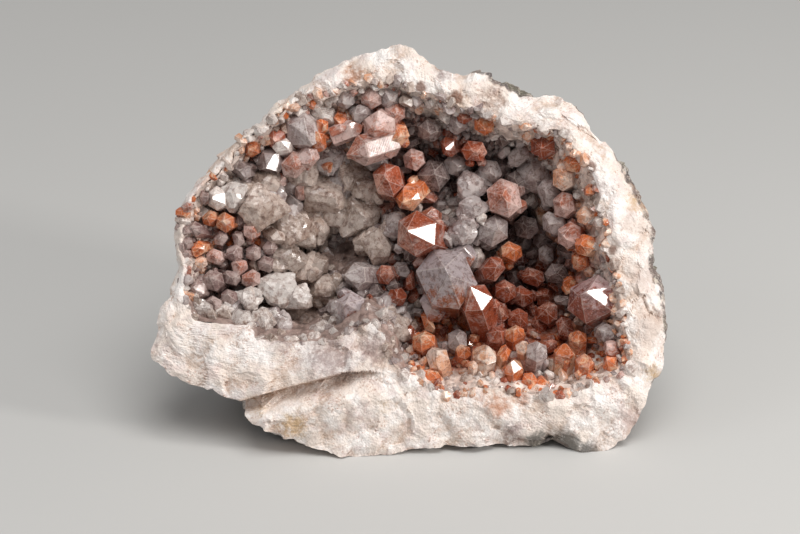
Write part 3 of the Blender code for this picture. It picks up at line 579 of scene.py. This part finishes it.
def crack_shares(angles):
    """The crack's place in every direction; past its outer end the rings spread out again slowly."""
    found = [crack_share(angle) for angle in angles]
    reach = len(angles) // 20
    shares = []
    for i, (share, strength) in enumerate(found):
        if share == 1.0:
            for away in range(1, reach):
                sides = (found[i - away], found[(i + away) % len(found)])
                if any(at < 1.0 and force > 0.9 for at, force in sides):
                    strength = 1 - away / reach
                    break
        shares.append((share, strength))
    return shares


def rim_share(even, crack, strength):
    """Moves an evenly spread ring of the rim so that two rings follow the crack's lips."""
    if even < LIPS_MIDDLE:
        near = (crack - LIPS_WIDTH) * even / LIPS_MIDDLE
    else:
        near = crack + LIPS_WIDTH + (1 - crack - LIPS_WIDTH) * (even - LIPS_MIDDLE) / (1 - LIPS_MIDDLE)
    return even + (near - even) * strength


# A brown stain along the crack, just under its ledge, darkened as painted shadow of the ledge.
def crack_stain_and_shadow(point):
    if point.y >= -30 or point.x >= CRACK_FADE[1]:
        return 0.0
    off = abs(point.y - piecewise(point.x, CRACK_U, CRACK_V) + 0.5)
    return math.exp(-((off / 1.1) ** 2)) * (1 - smooth_step(*CRACK_FADE, point.x))


def rind_share(kind, angle, value):
    """1 where the surface is dark rind, 0 where it is broken quartz."""
    width = look_up(RIND_FINE, angle)
    if kind == "rim" and width > 0:
        return THIN_RIND * smooth_step(1.12 - width * 1.3, 1.12 - width * 0.3, value)
    if kind == "outside":
        return max(THIN_RIND * smooth_step(0.0, 0.05, width), smooth_step(0.5, 12.0, value))
    return 0.0


def spot_at(point):
    """The colour and strength of the spot that is strongest here."""
    spot = NO_SPOT
    for at_u, at_v, size, colour, most in SPOTS:
        away = (point.x - at_u) ** 2 + (point.y - at_v) ** 2
        if away < (2 * size) ** 2:
            here = most * math.exp(-away / size**2)
            if here > spot[3]:
                spot = (*linear(colour), here)
    return spot


def make_rock():
    """The broken geode wall with its rind, as one closed mesh with fine relief."""
    angles = [math.tau * i / AROUND for i in range(AROUND)]
    cracks = crack_shares(angles)
    rings = [("hollow", share) for share in np.linspace(0.12, 0.985, HOLLOW_RINGS)]
    rings += [("rim", share) for share in np.linspace(0.0, 1.0, RIM_RINGS)]
    rings += [("outside", turn) for turn in 90 * np.linspace(0.012, 0.985, OUTSIDE_RINGS) ** 1.15]
    points, rind, spot, fibre, low = [], [], [], [], []
    for kind, value in rings:
        for angle, crack in zip(angles, cracks):
            at, relief, ragged, stain_and_shade = value, 0.0, 0.0, 0.0
            if kind == "hollow":
                point = hollow_point(angle, at)
            elif kind == "rim":
                at = rim_share(value, *crack)
                point = rim_point(angle, at)
            else:
                point = outside_point(angle, at)
            fibre.append(fibre_place(angle, math.hypot(point.x, point.y)))
            if kind == "rim":
                ridge = 0.5 - abs(noise.noise(Vector(fibre[-1]) * 0.6)) * 2
                relief = rubble(point, *RIM_BREAKS) + RIM_GRAIN * grain(point, 1.5) + FIBRE_RELIEF * ridge
                point.z += relief * (0.5 + 0.5 * smooth_step(0.0, 0.08, at))
                ragged = smooth_step(0.75, 1.0, at)
            elif kind == "outside":
                relief = rubble(point, *OUTSIDE_BREAKS) + OUTSIDE_GRAIN * grain(point, 2.6)
                point = point + outwards_from(point) * relief * (0.25 + 0.75 * smooth_step(0.0, 8.0, at))
                ragged = smooth_step(25.0, 0.0, at)
            if ragged > 0:
                wander = rubble(Vector((*polar(angle, EDGE_PATH), 0.0)), *EDGE_BREAKS)
                point = point + Vector((*polar(angle, 1.0), 0.0)) * wander * ragged
            if kind == "rim":
                stain_and_shade = crack_stain_and_shadow(point)
            points.append(point)
            # low: painted shade in the low spots of the relief, and the crack's stain and painted shadow.
            low.append(max(0.6 * smooth_step(0.0, -0.8, relief), stain_and_shade))
            rind.append(rind_share(kind, angle, at))
            spot.append(NO_SPOT if kind == "hollow" else spot_at(point))
    placed = [rest_on_floor(face_point(*point)) for point in points]
    front, back = len(placed), len(placed) + 1
    placed.append(face_point(*hollow_point(0.0, 0.0)))
    placed.append(rest_on_floor(face_point(*outside_point(0.0, 90.0))))
    for is_rind in (0.0, 1.0):
        rind.append(is_rind)
        spot.append(NO_SPOT)
        fibre.append((0.0, 0.0, 0.0))
        low.append(0.0)
    faces = [quad[1:] + quad[:1] for quad in ring_quads(len(rings), AROUND)]
    faces += fan(0, AROUND, front)
    faces += [(b, a, middle) for a, b, middle in fan((len(rings) - 1) * AROUND, AROUND, back)]
    rock = finish_mesh("rock", placed, faces, {
        "rind": ("FLOAT", rind), "spot": ("FLOAT_COLOR", spot), "fibre": ("FLOAT_VECTOR", fibre),
        "low": ("FLOAT", low),
    })
    rock.data.shade_flat()
    return rock


def bed_point(angle, share):
    """A point over the hollow's rock, and the direction in which it was lifted."""
    step = 0.01
    here = hollow_point(angle, share)
    forwards = (Vector(HOLLOW_FOCUS) - here).normalized()
    if share > step:
        outwards = hollow_point(angle, share + step) - hollow_point(angle, share - step)
        sideways = hollow_point(angle + step, share) - hollow_point(angle - step, share)
        forwards = (forwards + outwards.cross(sideways).normalized()).normalized()
    return here + forwards * BED_LIFT, forwards


def bed_surface(angle, share):
    """The bed without its relief: it runs into the rock at the mouth."""
    point, normal = bed_point(angle, min(share, 0.985))
    point = point + normal * BLOCKS_LIFT * blocky(point.x, point.y)
    near_mouth = smooth_step(0.93, 1.0, share)
    edge = rim_point(angle, 0.03) + Vector((0, 0, -0.4))
    return point + (edge - point) * near_mouth**2, normal, near_mouth


def zone_at(u, v):
    return min(ZONES, key=lambda zone: (zone[0] - u) ** 2 + (zone[1] - v) ** 2)


def zone_colour(u, v):
    """The bed's colour here: its neighbours' looks, blended."""
    total, colour = 0.0, np.zeros(3)
    for at_u, at_v, letters in ZONES:
        weight = math.exp(-((at_u - u) ** 2 + (at_v - v) ** 2) / ZONE_BLEND)
        total += weight
        colour += weight * np.mean([np.array(LOOKS[letter][1]) for letter in letters], axis=0)
    return linear(colour / total if total > 1e-6 else FAR_FROM_ZONES)


def blocky(u, v):
    """1 where the hollow is lined with milky blocks, 0 where it is lined with points."""
    return math.exp(-(((u + 26) / 26) ** 2 + ((v - 6) / 24) ** 2) ** 2)


def on_shelf(point):
    """The lower left of the mouth, where the quartz is grey and few points have grown."""
    return point.x < 0 and point.y < -12


def make_bed():
    """The crust that the crystals stand on: a skin of tiny points, blocks and pits."""
    placed, tint = [], []
    for share in np.sin(np.linspace(0.05, 0.5, BED_RINGS) * math.pi):
        for i in range(BED_AROUND):
            point, normal, near_mouth = bed_surface(math.tau * i / BED_AROUND, share)
            blocks = blocky(point.x, point.y)
            coarse, fine = (noise.voronoi(point / size)[0][0] for size in BED_POINTS)
            height = 1.8 * (0.7 - coarse) + 0.6 * (0.6 - fine)
            if blocks > 0.05:
                rough = rubble(point, *BED_BREAKS) + 0.35 * (0.6 - fine)
                height += (rough + 1.0 - height) * blocks
            point = point + normal * height * (1 - 0.3 * near_mouth)
            placed.append(face_point(*point))
            pale = smooth_step(0.84, 0.97, share + 0.09 * noise.noise(point / 3.5))
            tone = np.array(zone_colour(point.x, point.y))
            mouth_tone = np.array(linear(MOUTH_GREY if on_shelf(point) else MOUTH_WHITE))
            tint.append((*(tone + (mouth_tone - tone) * pale), 1.0))
    faces = ring_quads(BED_RINGS, BED_AROUND) + fan(0, BED_AROUND, len(placed))
    placed.append(face_point(*bed_point(0.0, 0.0)[0]))
    tint.append((*zone_colour(0, 0), 1.0))
    return finish_mesh("crystal_bed", placed, faces, {"tint": ("FLOAT_COLOR", tint)})


TRIPLES = {}  # the choices of three planes, by the number of planes
BALLS = {}  # the corners and faces of round meshes, by the number of cuts


def polytope(normals, distances):
    """Corners and faces of the solid that lies inside all these planes."""
    count = len(normals)
    if count not in TRIPLES:
        TRIPLES[count] = np.array(list(itertools.combinations(range(count), 3)))
    triples = TRIPLES[count]
    matrices = normals[triples]
    usable = np.abs(np.linalg.det(matrices)) > 1e-3
    triples, matrices = triples[usable], matrices[usable]
    points = np.linalg.solve(matrices, distances[triples][..., None])[..., 0]
    corners = []
    for point in points[(points @ normals.T <= distances + 1e-5).all(axis=1)]:
        if not any(np.abs(point - other).max() < 1e-3 for other in corners):
            corners.append(point)
    corners = np.array(corners)
    faces = []
    for normal, distance in zip(normals, distances):
        on = np.where(np.abs(corners @ normal - distance) < 2e-4)[0]
        if len(on) < 3:
            continue
        middle = corners[on].mean(axis=0)
        right = corners[on[0]] - middle
        right = right / np.linalg.norm(right)
        up = np.cross(normal, right)
        turn = np.arctan2((corners[on] - middle) @ up, (corners[on] - middle) @ right)
        faces.append([int(i) for i in on[np.argsort(turn)]])
    return corners, faces


def lamp_direction():
    side, rise = math.radians(LAMP_ANGLE), math.radians(LAMP_RISE)
    return Vector((math.sin(side), math.sin(rise), math.cos(side))).normalized()


def mirror_pose(head, direction):
    """Axis and face direction of a crystal whose face in this direction mirrors the lamp to the view."""
    to_lamp = (LAMP_TARGET + lamp_direction() * LAMP_DISTANCE - head).normalized()
    to_view = (VIEW_PLACE - head).normalized()
    normal = (to_lamp + to_view).normalized()
    flat = Vector((*polar(math.radians(direction), 1.0), 0.0))
    along = (flat - UP * (flat.dot(normal) / normal.z)).normalized()
    return normal * math.cos(POINT_SLOPE) - along * math.sin(POINT_SLOPE), along


def mesh_parts(bm):
    """The corners of a bmesh, the corners of each of its faces, and its faces' materials."""
    bm.verts.index_update()
    corners = np.array([tuple(vert.co) for vert in bm.verts])
    faces = [[vert.index for vert in face.verts] for face in bm.faces]
    marks = [float(face.material_index) for face in bm.faces]
    bm.free()
    return corners, faces, marks


def unit_ball(cuts):
    if cuts not in BALLS:
        bm = bmesh.new()
        bmesh.ops.create_icosphere(bm, subdivisions=cuts, radius=1.0)
        BALLS[cuts] = mesh_parts(bm)
    return BALLS[cuts]


def chamfered(corners, faces, width):
    """The solid with its edges cut off; the third list has 1 for each face that is such a cut."""
    bm = bmesh.new()
    made = [bm.verts.new(corner) for corner in corners]
    for face in faces:
        bm.faces.new([made[i] for i in face])
    bmesh.ops.remove_doubles(bm, verts=bm.verts[:], dist=SHORTEST_EDGE)
    bmesh.ops.bevel(
        bm, geom=bm.edges[:], offset=width, offset_type="OFFSET", segments=1, profile=0.5,
        affect="EDGES", clamp_overlap=True, material=1,
    )
    return mesh_parts(bm)


class Crystals:
    """Collects crystals of one material into one mesh."""

    def __init__(self):
        self.verts, self.faces, self.cuts, self.owner, self.rows = [], [], [], [], []

    def put(self, corners, faces, cuts, *row):
        """Adds a solid. Its row is its head, turn, radius, look, slope of its colour, shade and ring."""
        base = len(self.verts)
        self.verts.extend(corners)
        self.faces.extend([[base + i for i in face] for face in faces])
        self.cuts.extend(cuts)
        self.owner.extend([len(self.rows)] * len(corners))
        self.rows.append(row)

    def add(self, head, axis, turn, radius, length, look, pick, uneven):
        """One quartz crystal: a six-sided prism with a six-faced point, none of its sides quite equal."""
        matrix = np.array(UP.rotation_difference(axis).to_matrix())
        inradius = radius * math.cos(math.pi / 6)
        squeeze, squeezed = pick.uniform(1 - 2.4 * uneven, 1.0), pick.randrange(3)
        level = math.sin(POINT_SLOPE)
        alternate = pick.uniform(0.2, 1.0) * uneven * pick.choice((-1, 1))
        normals, distances = [], []
        for k in range(6):
            around = turn + k * math.pi / 3
            out = inradius * pick.uniform(1 - uneven, 1.04) * (squeeze if k % 3 == squeezed else 1.0)
            normals.append((*polar(around, 1.0), 0.0))
            distances.append(out)
            grow = 1 + alternate * (1 if k % 2 else -1) + pick.uniform(-0.7, 0.7) * uneven
            normals.append((*polar(around, level), math.cos(POINT_SLOPE)))
            distances.append(out * level * grow)
        normals.append((0.0, 0.0, -1.0))
        distances.append(length)
        corners, faces = polytope(np.array(normals), np.array(distances))
        cuts = [0.0] * len(faces)
        if radius >= CHAMFER_FROM:
            corners, faces, cuts = chamfered(corners, faces, BIG_CHAMFER if radius >= 5 else CHAMFER)
        corners = (corners @ matrix.T + np.array(head)).tolist()
        slope = Vector((pick.uniform(-1, 1), pick.uniform(-1, 1), pick.uniform(-0.4, 0.4))) * COLOUR_SLOPE
        slope, shade = FIXED_SLOPES.get(look, slope), pick.uniform(0.84, 1.2)
        self.put(corners, faces, cuts, head, matrix, radius, look, slope, shade, RINGS.get(look, 0.0))

    def add_block(self, head, axis, radius, look, pick):
        """A broken block of quartz: a dozen rough flat faces."""
        matrix = UP.rotation_difference(axis).to_matrix()
        normals, distances = [], []
        for k in range(BLOCK_FACES):
            height = 1 - 2 * (k + 0.5) / BLOCK_FACES
            around = k * GOLDEN_ANGLE + pick.uniform(-0.5, 0.5)
            flat = polar(around, math.sqrt(1 - height * height))
            normals.append(tuple(Vector((*flat, height + pick.uniform(-0.2, 0.2))).normalized()))
            distances.append(radius * pick.uniform(0.72, 1.0))
        ball, faces, cuts = unit_ball(4 if radius > 6.5 else 3)
        along = ball @ np.array(normals).T
        reach = np.where(along > 1e-3, np.array(distances) / np.maximum(along, 1e-3), 1e9).min(axis=1)
        corners = []
        for direction, far in zip(ball, reach.tolist()):
            point = Vector(direction) * far
            rough = rubble(head + matrix @ point, *BLOCK_BREAKS)
            corners.append(tuple(head + matrix @ (point * (1 + rough / max(2.0, far)))))
        slope = Vector((pick.uniform(-1, 1), pick.uniform(-1, 1), 0.0)) * COLOUR_SLOPE
        self.put(corners, faces, cuts, head, matrix, radius, look, slope, pick.uniform(0.8, 1.12), 0.0)

    def build(self, name):
        points, owners = np.array(self.verts), np.array(self.owner)
        heads, turns, radii, slopes, shades, rings = (
            np.array([np.array(row[k], dtype=float) for row in self.rows])[owners] for k in (0, 1, 2, 4, 5, 6)
        )
        looks = [LOOKS[row[3]] for row in self.rows]
        clear, tint = (
            np.hstack((
                np.array([linear(look[k]) for look in looks])[owners] * shades[:, None],
                np.ones((len(points), 1)),
            )) for k in (0, 1)
        )
        local = np.einsum("nji,nj->ni", turns, points - heads) / radii[:, None]
        by_place = ((points - heads) / radii[:, None] * slopes).sum(axis=1)
        amount = np.array([look[2] for look in looks])[owners] + by_place
        return finish_mesh(name, [face_point(*vert) for vert in self.verts], self.faces, {
            "clear": ("FLOAT_COLOR", clear),
            "tint": ("FLOAT_COLOR", tint),
            "local": ("FLOAT_VECTOR", local),
            "amount": ("FLOAT", amount),
            "ring": ("FLOAT", rings),
            "edge": ("FLOAT", self.cuts, "FACE"),
        })


def crust_level(u, v):
    angle = math.atan2(v, u)
    share = min(1.0, math.hypot(u, v) / look_up(MOUTH_FINE, angle))
    return hollow_out(angle, share) + CRUST_VALLEY


def root_length(head, axis):
    """How long a crystal is from its head to a little below the crust."""
    length = 0.0
    while length < HOLLOW_DEPTH * 2:
        point = head - axis * length
        if point.z < crust_level(point.x, point.y):
            break
        length += 0.5
    return length + 2.5


def add_listed(groups, taken):
    """The crystals of the table, with small ones that grow out of the sides of the larger."""
    for index, (u, v, w, radius, lean_right, lean_up, turn, look, *mirror) in enumerate(CRYSTALS):
        pick = random.Random(index)
        head = Vector((u, v, w))
        axis = Vector((math.tan(math.radians(lean_right)), math.tan(math.radians(lean_up)), 1.0)).normalized()
        spin = math.radians(turn)
        if mirror:
            axis, along = mirror_pose(head, mirror[0])
            local = UP.rotation_difference(axis).inverted() @ along
            spin = math.atan2(local.y, local.x)
        length = min(root_length(head, axis), (LONGEST if axis.z > 0.5 else LONGEST_LYING) * radius)
        group = groups[LOOKS[look][3]]
        group.add(head, axis, spin, radius, length, look, pick, 0.06 if radius > 5.5 else 0.1)
        taken.append((u, v, w, radius))
        if radius <= BUDS_FROM:
            continue
        side = axis.orthogonal().normalized()
        for _ in range(pick.randint(1, 3)):
            side.rotate(Matrix.Rotation(pick.uniform(0, math.tau), 3, axis))
            size = radius * pick.uniform(0.28, 0.5)
            lean = (axis + side * pick.uniform(0.0, 0.35)).normalized()
            place = head + side * radius * pick.uniform(0.75, 1.0) - axis * radius * pick.uniform(0.3, 1.3)
            group.add(place, lean, spin, size, 4.0, look, pick, 0.12)


def add_blocks(groups):
    """The milky blocks, each of one large piece and three smaller ones that have grown into it."""
    for index, (u, v, w, radius, look) in enumerate(BLOCKS):
        pick = random.Random(BLOCK_SEED + index)
        for part in range(4):
            shift = Vector((pick.uniform(-1, 1), pick.uniform(-1, 1), pick.uniform(-0.8, 0.3))) * radius * 0.6
            size = radius * (0.85 if part == 0 else pick.uniform(0.35, 0.65))
            axis = Vector((pick.uniform(-1, 1), pick.uniform(-1, 1), 1.0)).normalized()
            place = Vector((u, v, w - 2.0)) + (shift if part else Vector())
            chosen = look if pick.random() < 0.8 else "G"
            groups[LOOKS[chosen][3]].add_block(place, axis, size, chosen, pick)


def crowded(head, radius, near_limit, taken):
    for u, v, w, size in taken:
        near = math.hypot(head.x - u, head.y - v)
        if near < near_limit * (size + radius) and abs(head.z - w) < 1.6 * (size + radius) + 4:
            return True
    return False


def add_small(groups, taken):
    """Small crystals all over the bed, where there is room between the others."""
    pick = random.Random(SMALL_SEED)
    for wanted, sizes, near_limit, (inner, outer) in SMALL_CRYSTALS:
        placed = tries = 0
        while placed < wanted and tries < wanted * 14:
            tries += 1
            angle = pick.uniform(0, math.tau)
            share = math.sqrt(pick.uniform(inner**2, outer**2))
            base, normal, near_mouth = bed_surface(angle, share)
            look = pick.choice(zone_at(base.x + pick.uniform(-5, 5), base.y + pick.uniform(-5, 5))[2])
            shelf = on_shelf(base)
            if share > 0.93 and pick.random() < (0.97 if shelf else 0.62):
                look = pick.choice("WMWWGM" if shelf else "WWWPMP")
            radius = pick.uniform(*sizes)
            if share > 0.9 and inner == 0:
                radius *= 0.75
            jitter = Vector((pick.uniform(-1, 1), pick.uniform(-1, 1), pick.uniform(-0.3, 0.6)))
            axis = (normal * 0.75 + Vector((0, 0, 0.7)) + jitter * 0.55).normalized()
            stand = pick.uniform(0.2, 2.0) * radius * (1 - 0.5 * near_mouth)
            if inner > 0:
                stand *= 0.4 if base.y < -20 else 0.8
            head = base + axis * stand
            if any(math.hypot(head.x - at_u, head.y - at_v) < size for at_u, at_v, size in PITS):
                continue
            if shelf and share > 0.8 and pick.random() < 0.75:
                continue
            if crowded(head, radius, near_limit, taken):
                continue
            taken.append((head.x, head.y, head.z, radius))
            spin = pick.uniform(0, math.pi / 3)
            groups[LOOKS[look][3]].add(head, axis, spin, radius, stand + 3.0, look, pick, 0.2)
            placed += 1


def make_crystals():
    groups, taken = {key: Crystals() for key in CRYSTAL_FINISHES}, []
    add_listed(groups, taken)
    add_blocks(groups)
    add_small(groups, taken)
    return groups


class Nodes:
    """Short calls for building a material out of nodes."""

    def __init__(self, name):
        self.material = bpy.data.materials.new(name)
        self.material.use_nodes = True
        self.tree = self.material.node_tree
        self.shader = self.tree.nodes["Principled BSDF"]
        self.place = self.add("ShaderNodeTexCoord").outputs["Object"]

    def set(self, socket, value):
        if isinstance(value, bpy.types.NodeSocket):
            self.tree.links.new(value, socket)
        else:
            socket.default_value = value

    def add(self, kind, inputs=None, **settings):
        node = self.tree.nodes.new(kind)
        for key, value in settings.items():
            setattr(node, key, value)
        for key, value in (inputs or {}).items():
            self.set(node.inputs[key], value)
        return node

    def math(self, operation, a, b=0.0, c=0.0):
        return self.add("ShaderNodeMath", {0: a, 1: b, 2: c}, operation=operation).outputs[0]

    def plus(self, a, b):
        return self.math("ADD", a, b)

    def times(self, a, b):
        return self.math("MULTIPLY", a, b)

    def fit(self, value, low, high, to_low=0.0, to_high=1.0):
        """The value's smooth way from low to high, as a way from to_low to to_high."""
        return self.add("ShaderNodeMapRange", {
            "Value": value, "From Min": low, "From Max": high, "To Min": to_low, "To Max": to_high,
        }, interpolation_type="SMOOTHSTEP").outputs["Result"]

    def mix(self, share, a, b, blend="MIX"):
        node = self.add("ShaderNodeMix", {0: share}, data_type="RGBA", blend_type=blend, clamp_factor=True)
        for socket, colour in ((6, a), (7, b)):
            plain = not isinstance(colour, bpy.types.NodeSocket)
            self.set(node.inputs[socket], (*colour, 1.0) if plain else colour)
        return node.outputs[2]

    def stain(self, colour, mask, low, high, most, tint):
        """The colour with a tint over it: none of it where the mask is low, most where it is high."""
        return self.mix(self.fit(mask, low, high, 0.0, most), colour, linear(tint))

    def noise(self, scale, detail, roughness, distortion=0.0, vector=None):
        return self.add("ShaderNodeTexNoise", {
            "Vector": self.place if vector is None else vector, "Scale": scale, "Detail": detail,
            "Roughness": roughness, "Distortion": distortion,
        }).outputs[0]

    def attribute(self, name, output="Fac"):
        return self.add("ShaderNodeAttribute", attribute_name=name).outputs[output]

    def bump(self, height, strength, distance):
        inputs = {"Height": height, "Strength": strength, "Distance": distance}
        return self.add("ShaderNodeBump", inputs).outputs["Normal"]

    def finish(self, **values):
        for key, value in values.items():
            self.set(self.shader.inputs[key.replace("_", " ")], value)
        return self.material


def rock_material():
    n = Nodes("milky_quartz_rock")
    rind, spot = n.attribute("rind"), n.attribute("spot", "Alpha")
    middle, fine, speck = n.noise(330, 4, 0.65), n.noise(2300, 3, 0.6), n.noise(1100, 4, 0.75)
    threads = n.noise(1.1, 5, 0.7, 0.5, n.attribute("fibre", "Vector"))
    colour = n.mix(n.fit(n.noise(110, 4, 0.6), 0.4, 0.6), linear((250, 243, 239)), linear((238, 224, 214)))
    colour = n.stain(colour, n.noise(150, 5, 0.7, 0.6), 0.5, 0.64, 0.6, (222, 204, 200))
    colour = n.stain(colour, middle, 0.5, 0.72, 0.4, (222, 200, 192))
    colour = n.stain(colour, threads, 0.54, 0.72, 0.4, (210, 184, 166))
    clusters = n.fit(n.noise(120, 3, 0.6, 0.4), 0.46, 0.62, 0.0, 0.16)
    colour = n.stain(colour, n.plus(speck, clusters), 0.66, 0.78, 0.62, (170, 122, 98))
    # Painted shade: a darker tan where the relief is low, with the crack's brown stain and painted shadow.
    stain_and_shade = n.times(n.attribute("low"), n.fit(n.noise(420, 5, 0.75), 0.35, 0.6, 0.15, 1.0))
    colour = n.mix(stain_and_shade, colour, linear((184, 150, 124)))
    uneven = n.math("MULTIPLY_ADD", n.noise(420, 6, 0.75), 1.5, -0.75)
    spotted = n.plus(spot, n.times(uneven, n.fit(spot, 0.0, 0.3)))
    colour = n.mix(n.fit(spotted, 0.3, 0.9, 0.0, 0.8), colour, n.attribute("spot", "Color"))
    host = n.mix(n.fit(middle, 0.4, 0.62), linear((132, 116, 110)), linear((92, 84, 82)))
    host = n.stain(host, n.noise(60, 3, 0.6), 0.5, 0.66, 1.0, (112, 106, 92))
    host = n.stain(host, speck, 0.52, 0.62, 0.75, (206, 196, 184))
    host = n.stain(host, n.noise(95, 5, 0.7), 0.56, 0.66, 0.85, (220, 208, 194))
    host = n.stain(host, n.noise(70, 4, 0.7, 0.5), 0.58, 0.7, 0.6, (158, 116, 84))
    worn = n.plus(rind, n.math("MULTIPLY_ADD", n.noise(180, 5, 0.7), 1.4, -0.7))
    colour = n.mix(n.fit(worn, 0.35, 0.6), colour, host)
    grains = n.add("ShaderNodeTexVoronoi", {"Vector": n.place, "Scale": 1300}).outputs["Distance"]
    height = n.plus(n.times(fine, 0.5), n.times(grains, 0.7))
    height = n.plus(height, n.times(threads, n.fit(rind, 0.0, 0.5, 0.4, 0.0)))
    normal = n.bump(n.plus(height, n.times(middle, 0.9)), 0.6, 0.0005)
    return n.finish(Base_Color=colour, Roughness=n.fit(fine, 0.3, 0.7, 0.4, 0.75), Normal=normal, IOR=1.5)


def crystal_material(name, transmission, roughness, painted_edge_highlight, inclusion_size):
    n = Nodes(name)
    split = n.add("ShaderNodeSeparateXYZ", {"Vector": n.attribute("local", "Vector")})
    x, y, z = split.outputs
    from_axis = n.math("SQRT", n.plus(n.times(x, x), n.times(y, y)))
    zoned = n.times(n.attribute("ring"), n.math("SUBTRACT", from_axis, 0.45))
    amount = n.plus(n.attribute("amount"), zoned)
    cloud = n.noise(1000 / inclusion_size, 6, 0.72, 0.8)
    grown = n.plus(n.times(cloud, 0.75), n.times(n.noise(2200, 3, 0.7), 0.25))
    grown = n.math("MULTIPLY_ADD", n.math("SUBTRACT", amount, 0.5), 0.45, grown)
    colour = n.mix(n.fit(grown, 0.44, 0.58), n.attribute("clear", "Color"), n.attribute("tint", "Color"))
    dapple = n.noise(520, 5, 0.75, 0.4)
    shade = n.mix(1.0, colour, (0.42, 0.33, 0.31), "MULTIPLY")
    colour = n.mix(n.fit(dapple, 0.36, 0.54, 0.85, 0.0), colour, shade)
    colour = n.stain(colour, n.noise(1700, 3, 0.8), 0.56, 0.7, 0.45, (236, 218, 206))
    colour = n.stain(colour, n.noise(240, 5, 0.66, 0.5), 0.52, 0.68, 0.36, (222, 208, 202))
    # Painted highlight: the cut edges are painted pale, as light caught inside them.
    edge = n.times(n.attribute("edge"), n.fit(dapple, 0.35, 0.6, 0.5, 1.0))
    colour = n.mix(n.times(edge, painted_edge_highlight), colour, linear((240, 226, 216)))
    stripes = n.times(n.math("SINE", n.times(z, 60.0)), n.fit(z, 0.05, -0.1))
    height = n.plus(n.times(n.noise(1300, 3, 0.6), 0.7), n.times(stripes, 0.2))
    normal = n.bump(n.plus(height, n.noise(350, 2, 0.5)), 0.16, 0.0004)
    rough = n.fit(n.noise(700, 3, 0.6), 0.35, 0.7, roughness * 0.5, roughness * 1.8)
    return n.finish(
        Base_Color=colour, Roughness=rough, Normal=normal, IOR=QUARTZ_IOR, Transmission_Weight=transmission,
    )


def bed_material():
    n = Nodes("crystal_bed")
    tone = n.mix(n.fit(n.noise(300, 4, 0.6), 0.35, 0.65), (0.55, 0.5, 0.47), (1.1, 1.05, 1.0))
    colour = n.mix(1.0, n.attribute("tint", "Color"), tone, "MULTIPLY")
    colour = n.stain(colour, n.noise(1300, 4, 0.7), 0.56, 0.7, 0.5, (205, 190, 178))
    normal = n.bump(n.noise(1500, 3, 0.6), 0.5, 0.0004)
    return n.finish(Base_Color=colour, Roughness=0.3, Normal=normal, IOR=QUARTZ_IOR)


def floor_material():
    n = Nodes("pale_floor")
    colour = n.mix(n.noise(3.0, 3, 0.5), linear((196, 195, 193)), linear((202, 201, 199)))
    return n.finish(Base_Color=colour, Roughness=0.8, IOR=1.4)


def dress(obj, material, node):
    obj.data.materials.clear()
    obj.data.materials.append(material)
    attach(obj, "root")
    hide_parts(node)


def aim(obj, target, up):
    """Turns a camera or lamp at obj's place towards the target."""
    back = (obj.location - target).normalized()
    right = up.cross(back).normalized()
    obj.rotation_mode = "QUATERNION"
    obj.rotation_quaternion = Matrix((right, back.cross(right), back)).transposed().to_quaternion()


def add_lamp(name, direction, distance, size, power, colour):
    """A rectangular lamp that faces the hollow; its direction is seen from the face."""
    light = bpy.data.lights.new(name, "AREA")
    light.shape = "RECTANGLE"
    light.size, light.size_y = size
    light.energy = power
    light.color = colour
    lamp = add_object(name, light)
    target = face_point(*LAMP_TARGET)
    lamp.location = target + (face_point(*direction) - face_point(0, 0, 0)).normalized() * distance
    aim(lamp, target, Vector((0.01, 0, 1)))


def make_stage():
    bm = bmesh.new()
    bmesh.ops.create_grid(bm, x_segments=1, y_segments=1, size=FLOOR_REACH)
    mesh = bpy.data.meshes.new("floor")
    bm.to_mesh(mesh)
    bm.free()
    mesh.materials.append(floor_material())
    floor = add_object("floor", mesh)
    world = bpy.data.worlds.new("studio")
    world.use_nodes = True
    background = world.node_tree.nodes["Background"].inputs
    background["Color"].default_value, background["Strength"].default_value = ROOM_LIGHT
    bpy.context.scene.world = world
    for lamp in LAMPS:
        add_lamp(*lamp)
    camera_data = bpy.data.cameras.new("camera")
    camera_data.lens, camera_data.sensor_width, camera_data.clip_start = 120.0, 36.0, 0.01
    camera = add_object("camera", camera_data)
    camera.location = face_point(*VIEW_PLACE)
    aim(camera, face_point(VIEW_PLACE.x, VIEW_PLACE.y, 0.0), UP)
    bpy.context.scene.camera = camera
    view = bpy.context.scene.view_settings
    view.view_transform, view.look, view.exposure = "Standard", "None", 0.0


LAMPS = (
    ("lamp_right", tuple(lamp_direction()), LAMP_DISTANCE * MM, (0.11, 0.12), 2.7, (1.0, 0.98, 0.95)),
    ("lamp_top", (0.15, 0.74, 0.7), 1.5, (1.3, 1.0), 17.6, (1.0, 0.99, 0.97)),
    ("lamp_left", (-0.75, 0.45, 0.55), 0.9, (0.4, 0.4), 0.6, (0.95, 0.97, 1.0)),
)

make_stage()
dress(make_rock(), rock_material(), "matrix")
dress(make_bed(), bed_material(), "crystal_crust")
for kind, crystals in make_crystals().items():
    piece, finish = CRYSTAL_FINISHES[kind]
    dress(crystals.build(piece), crystal_material(*finish), "crystal_crust")
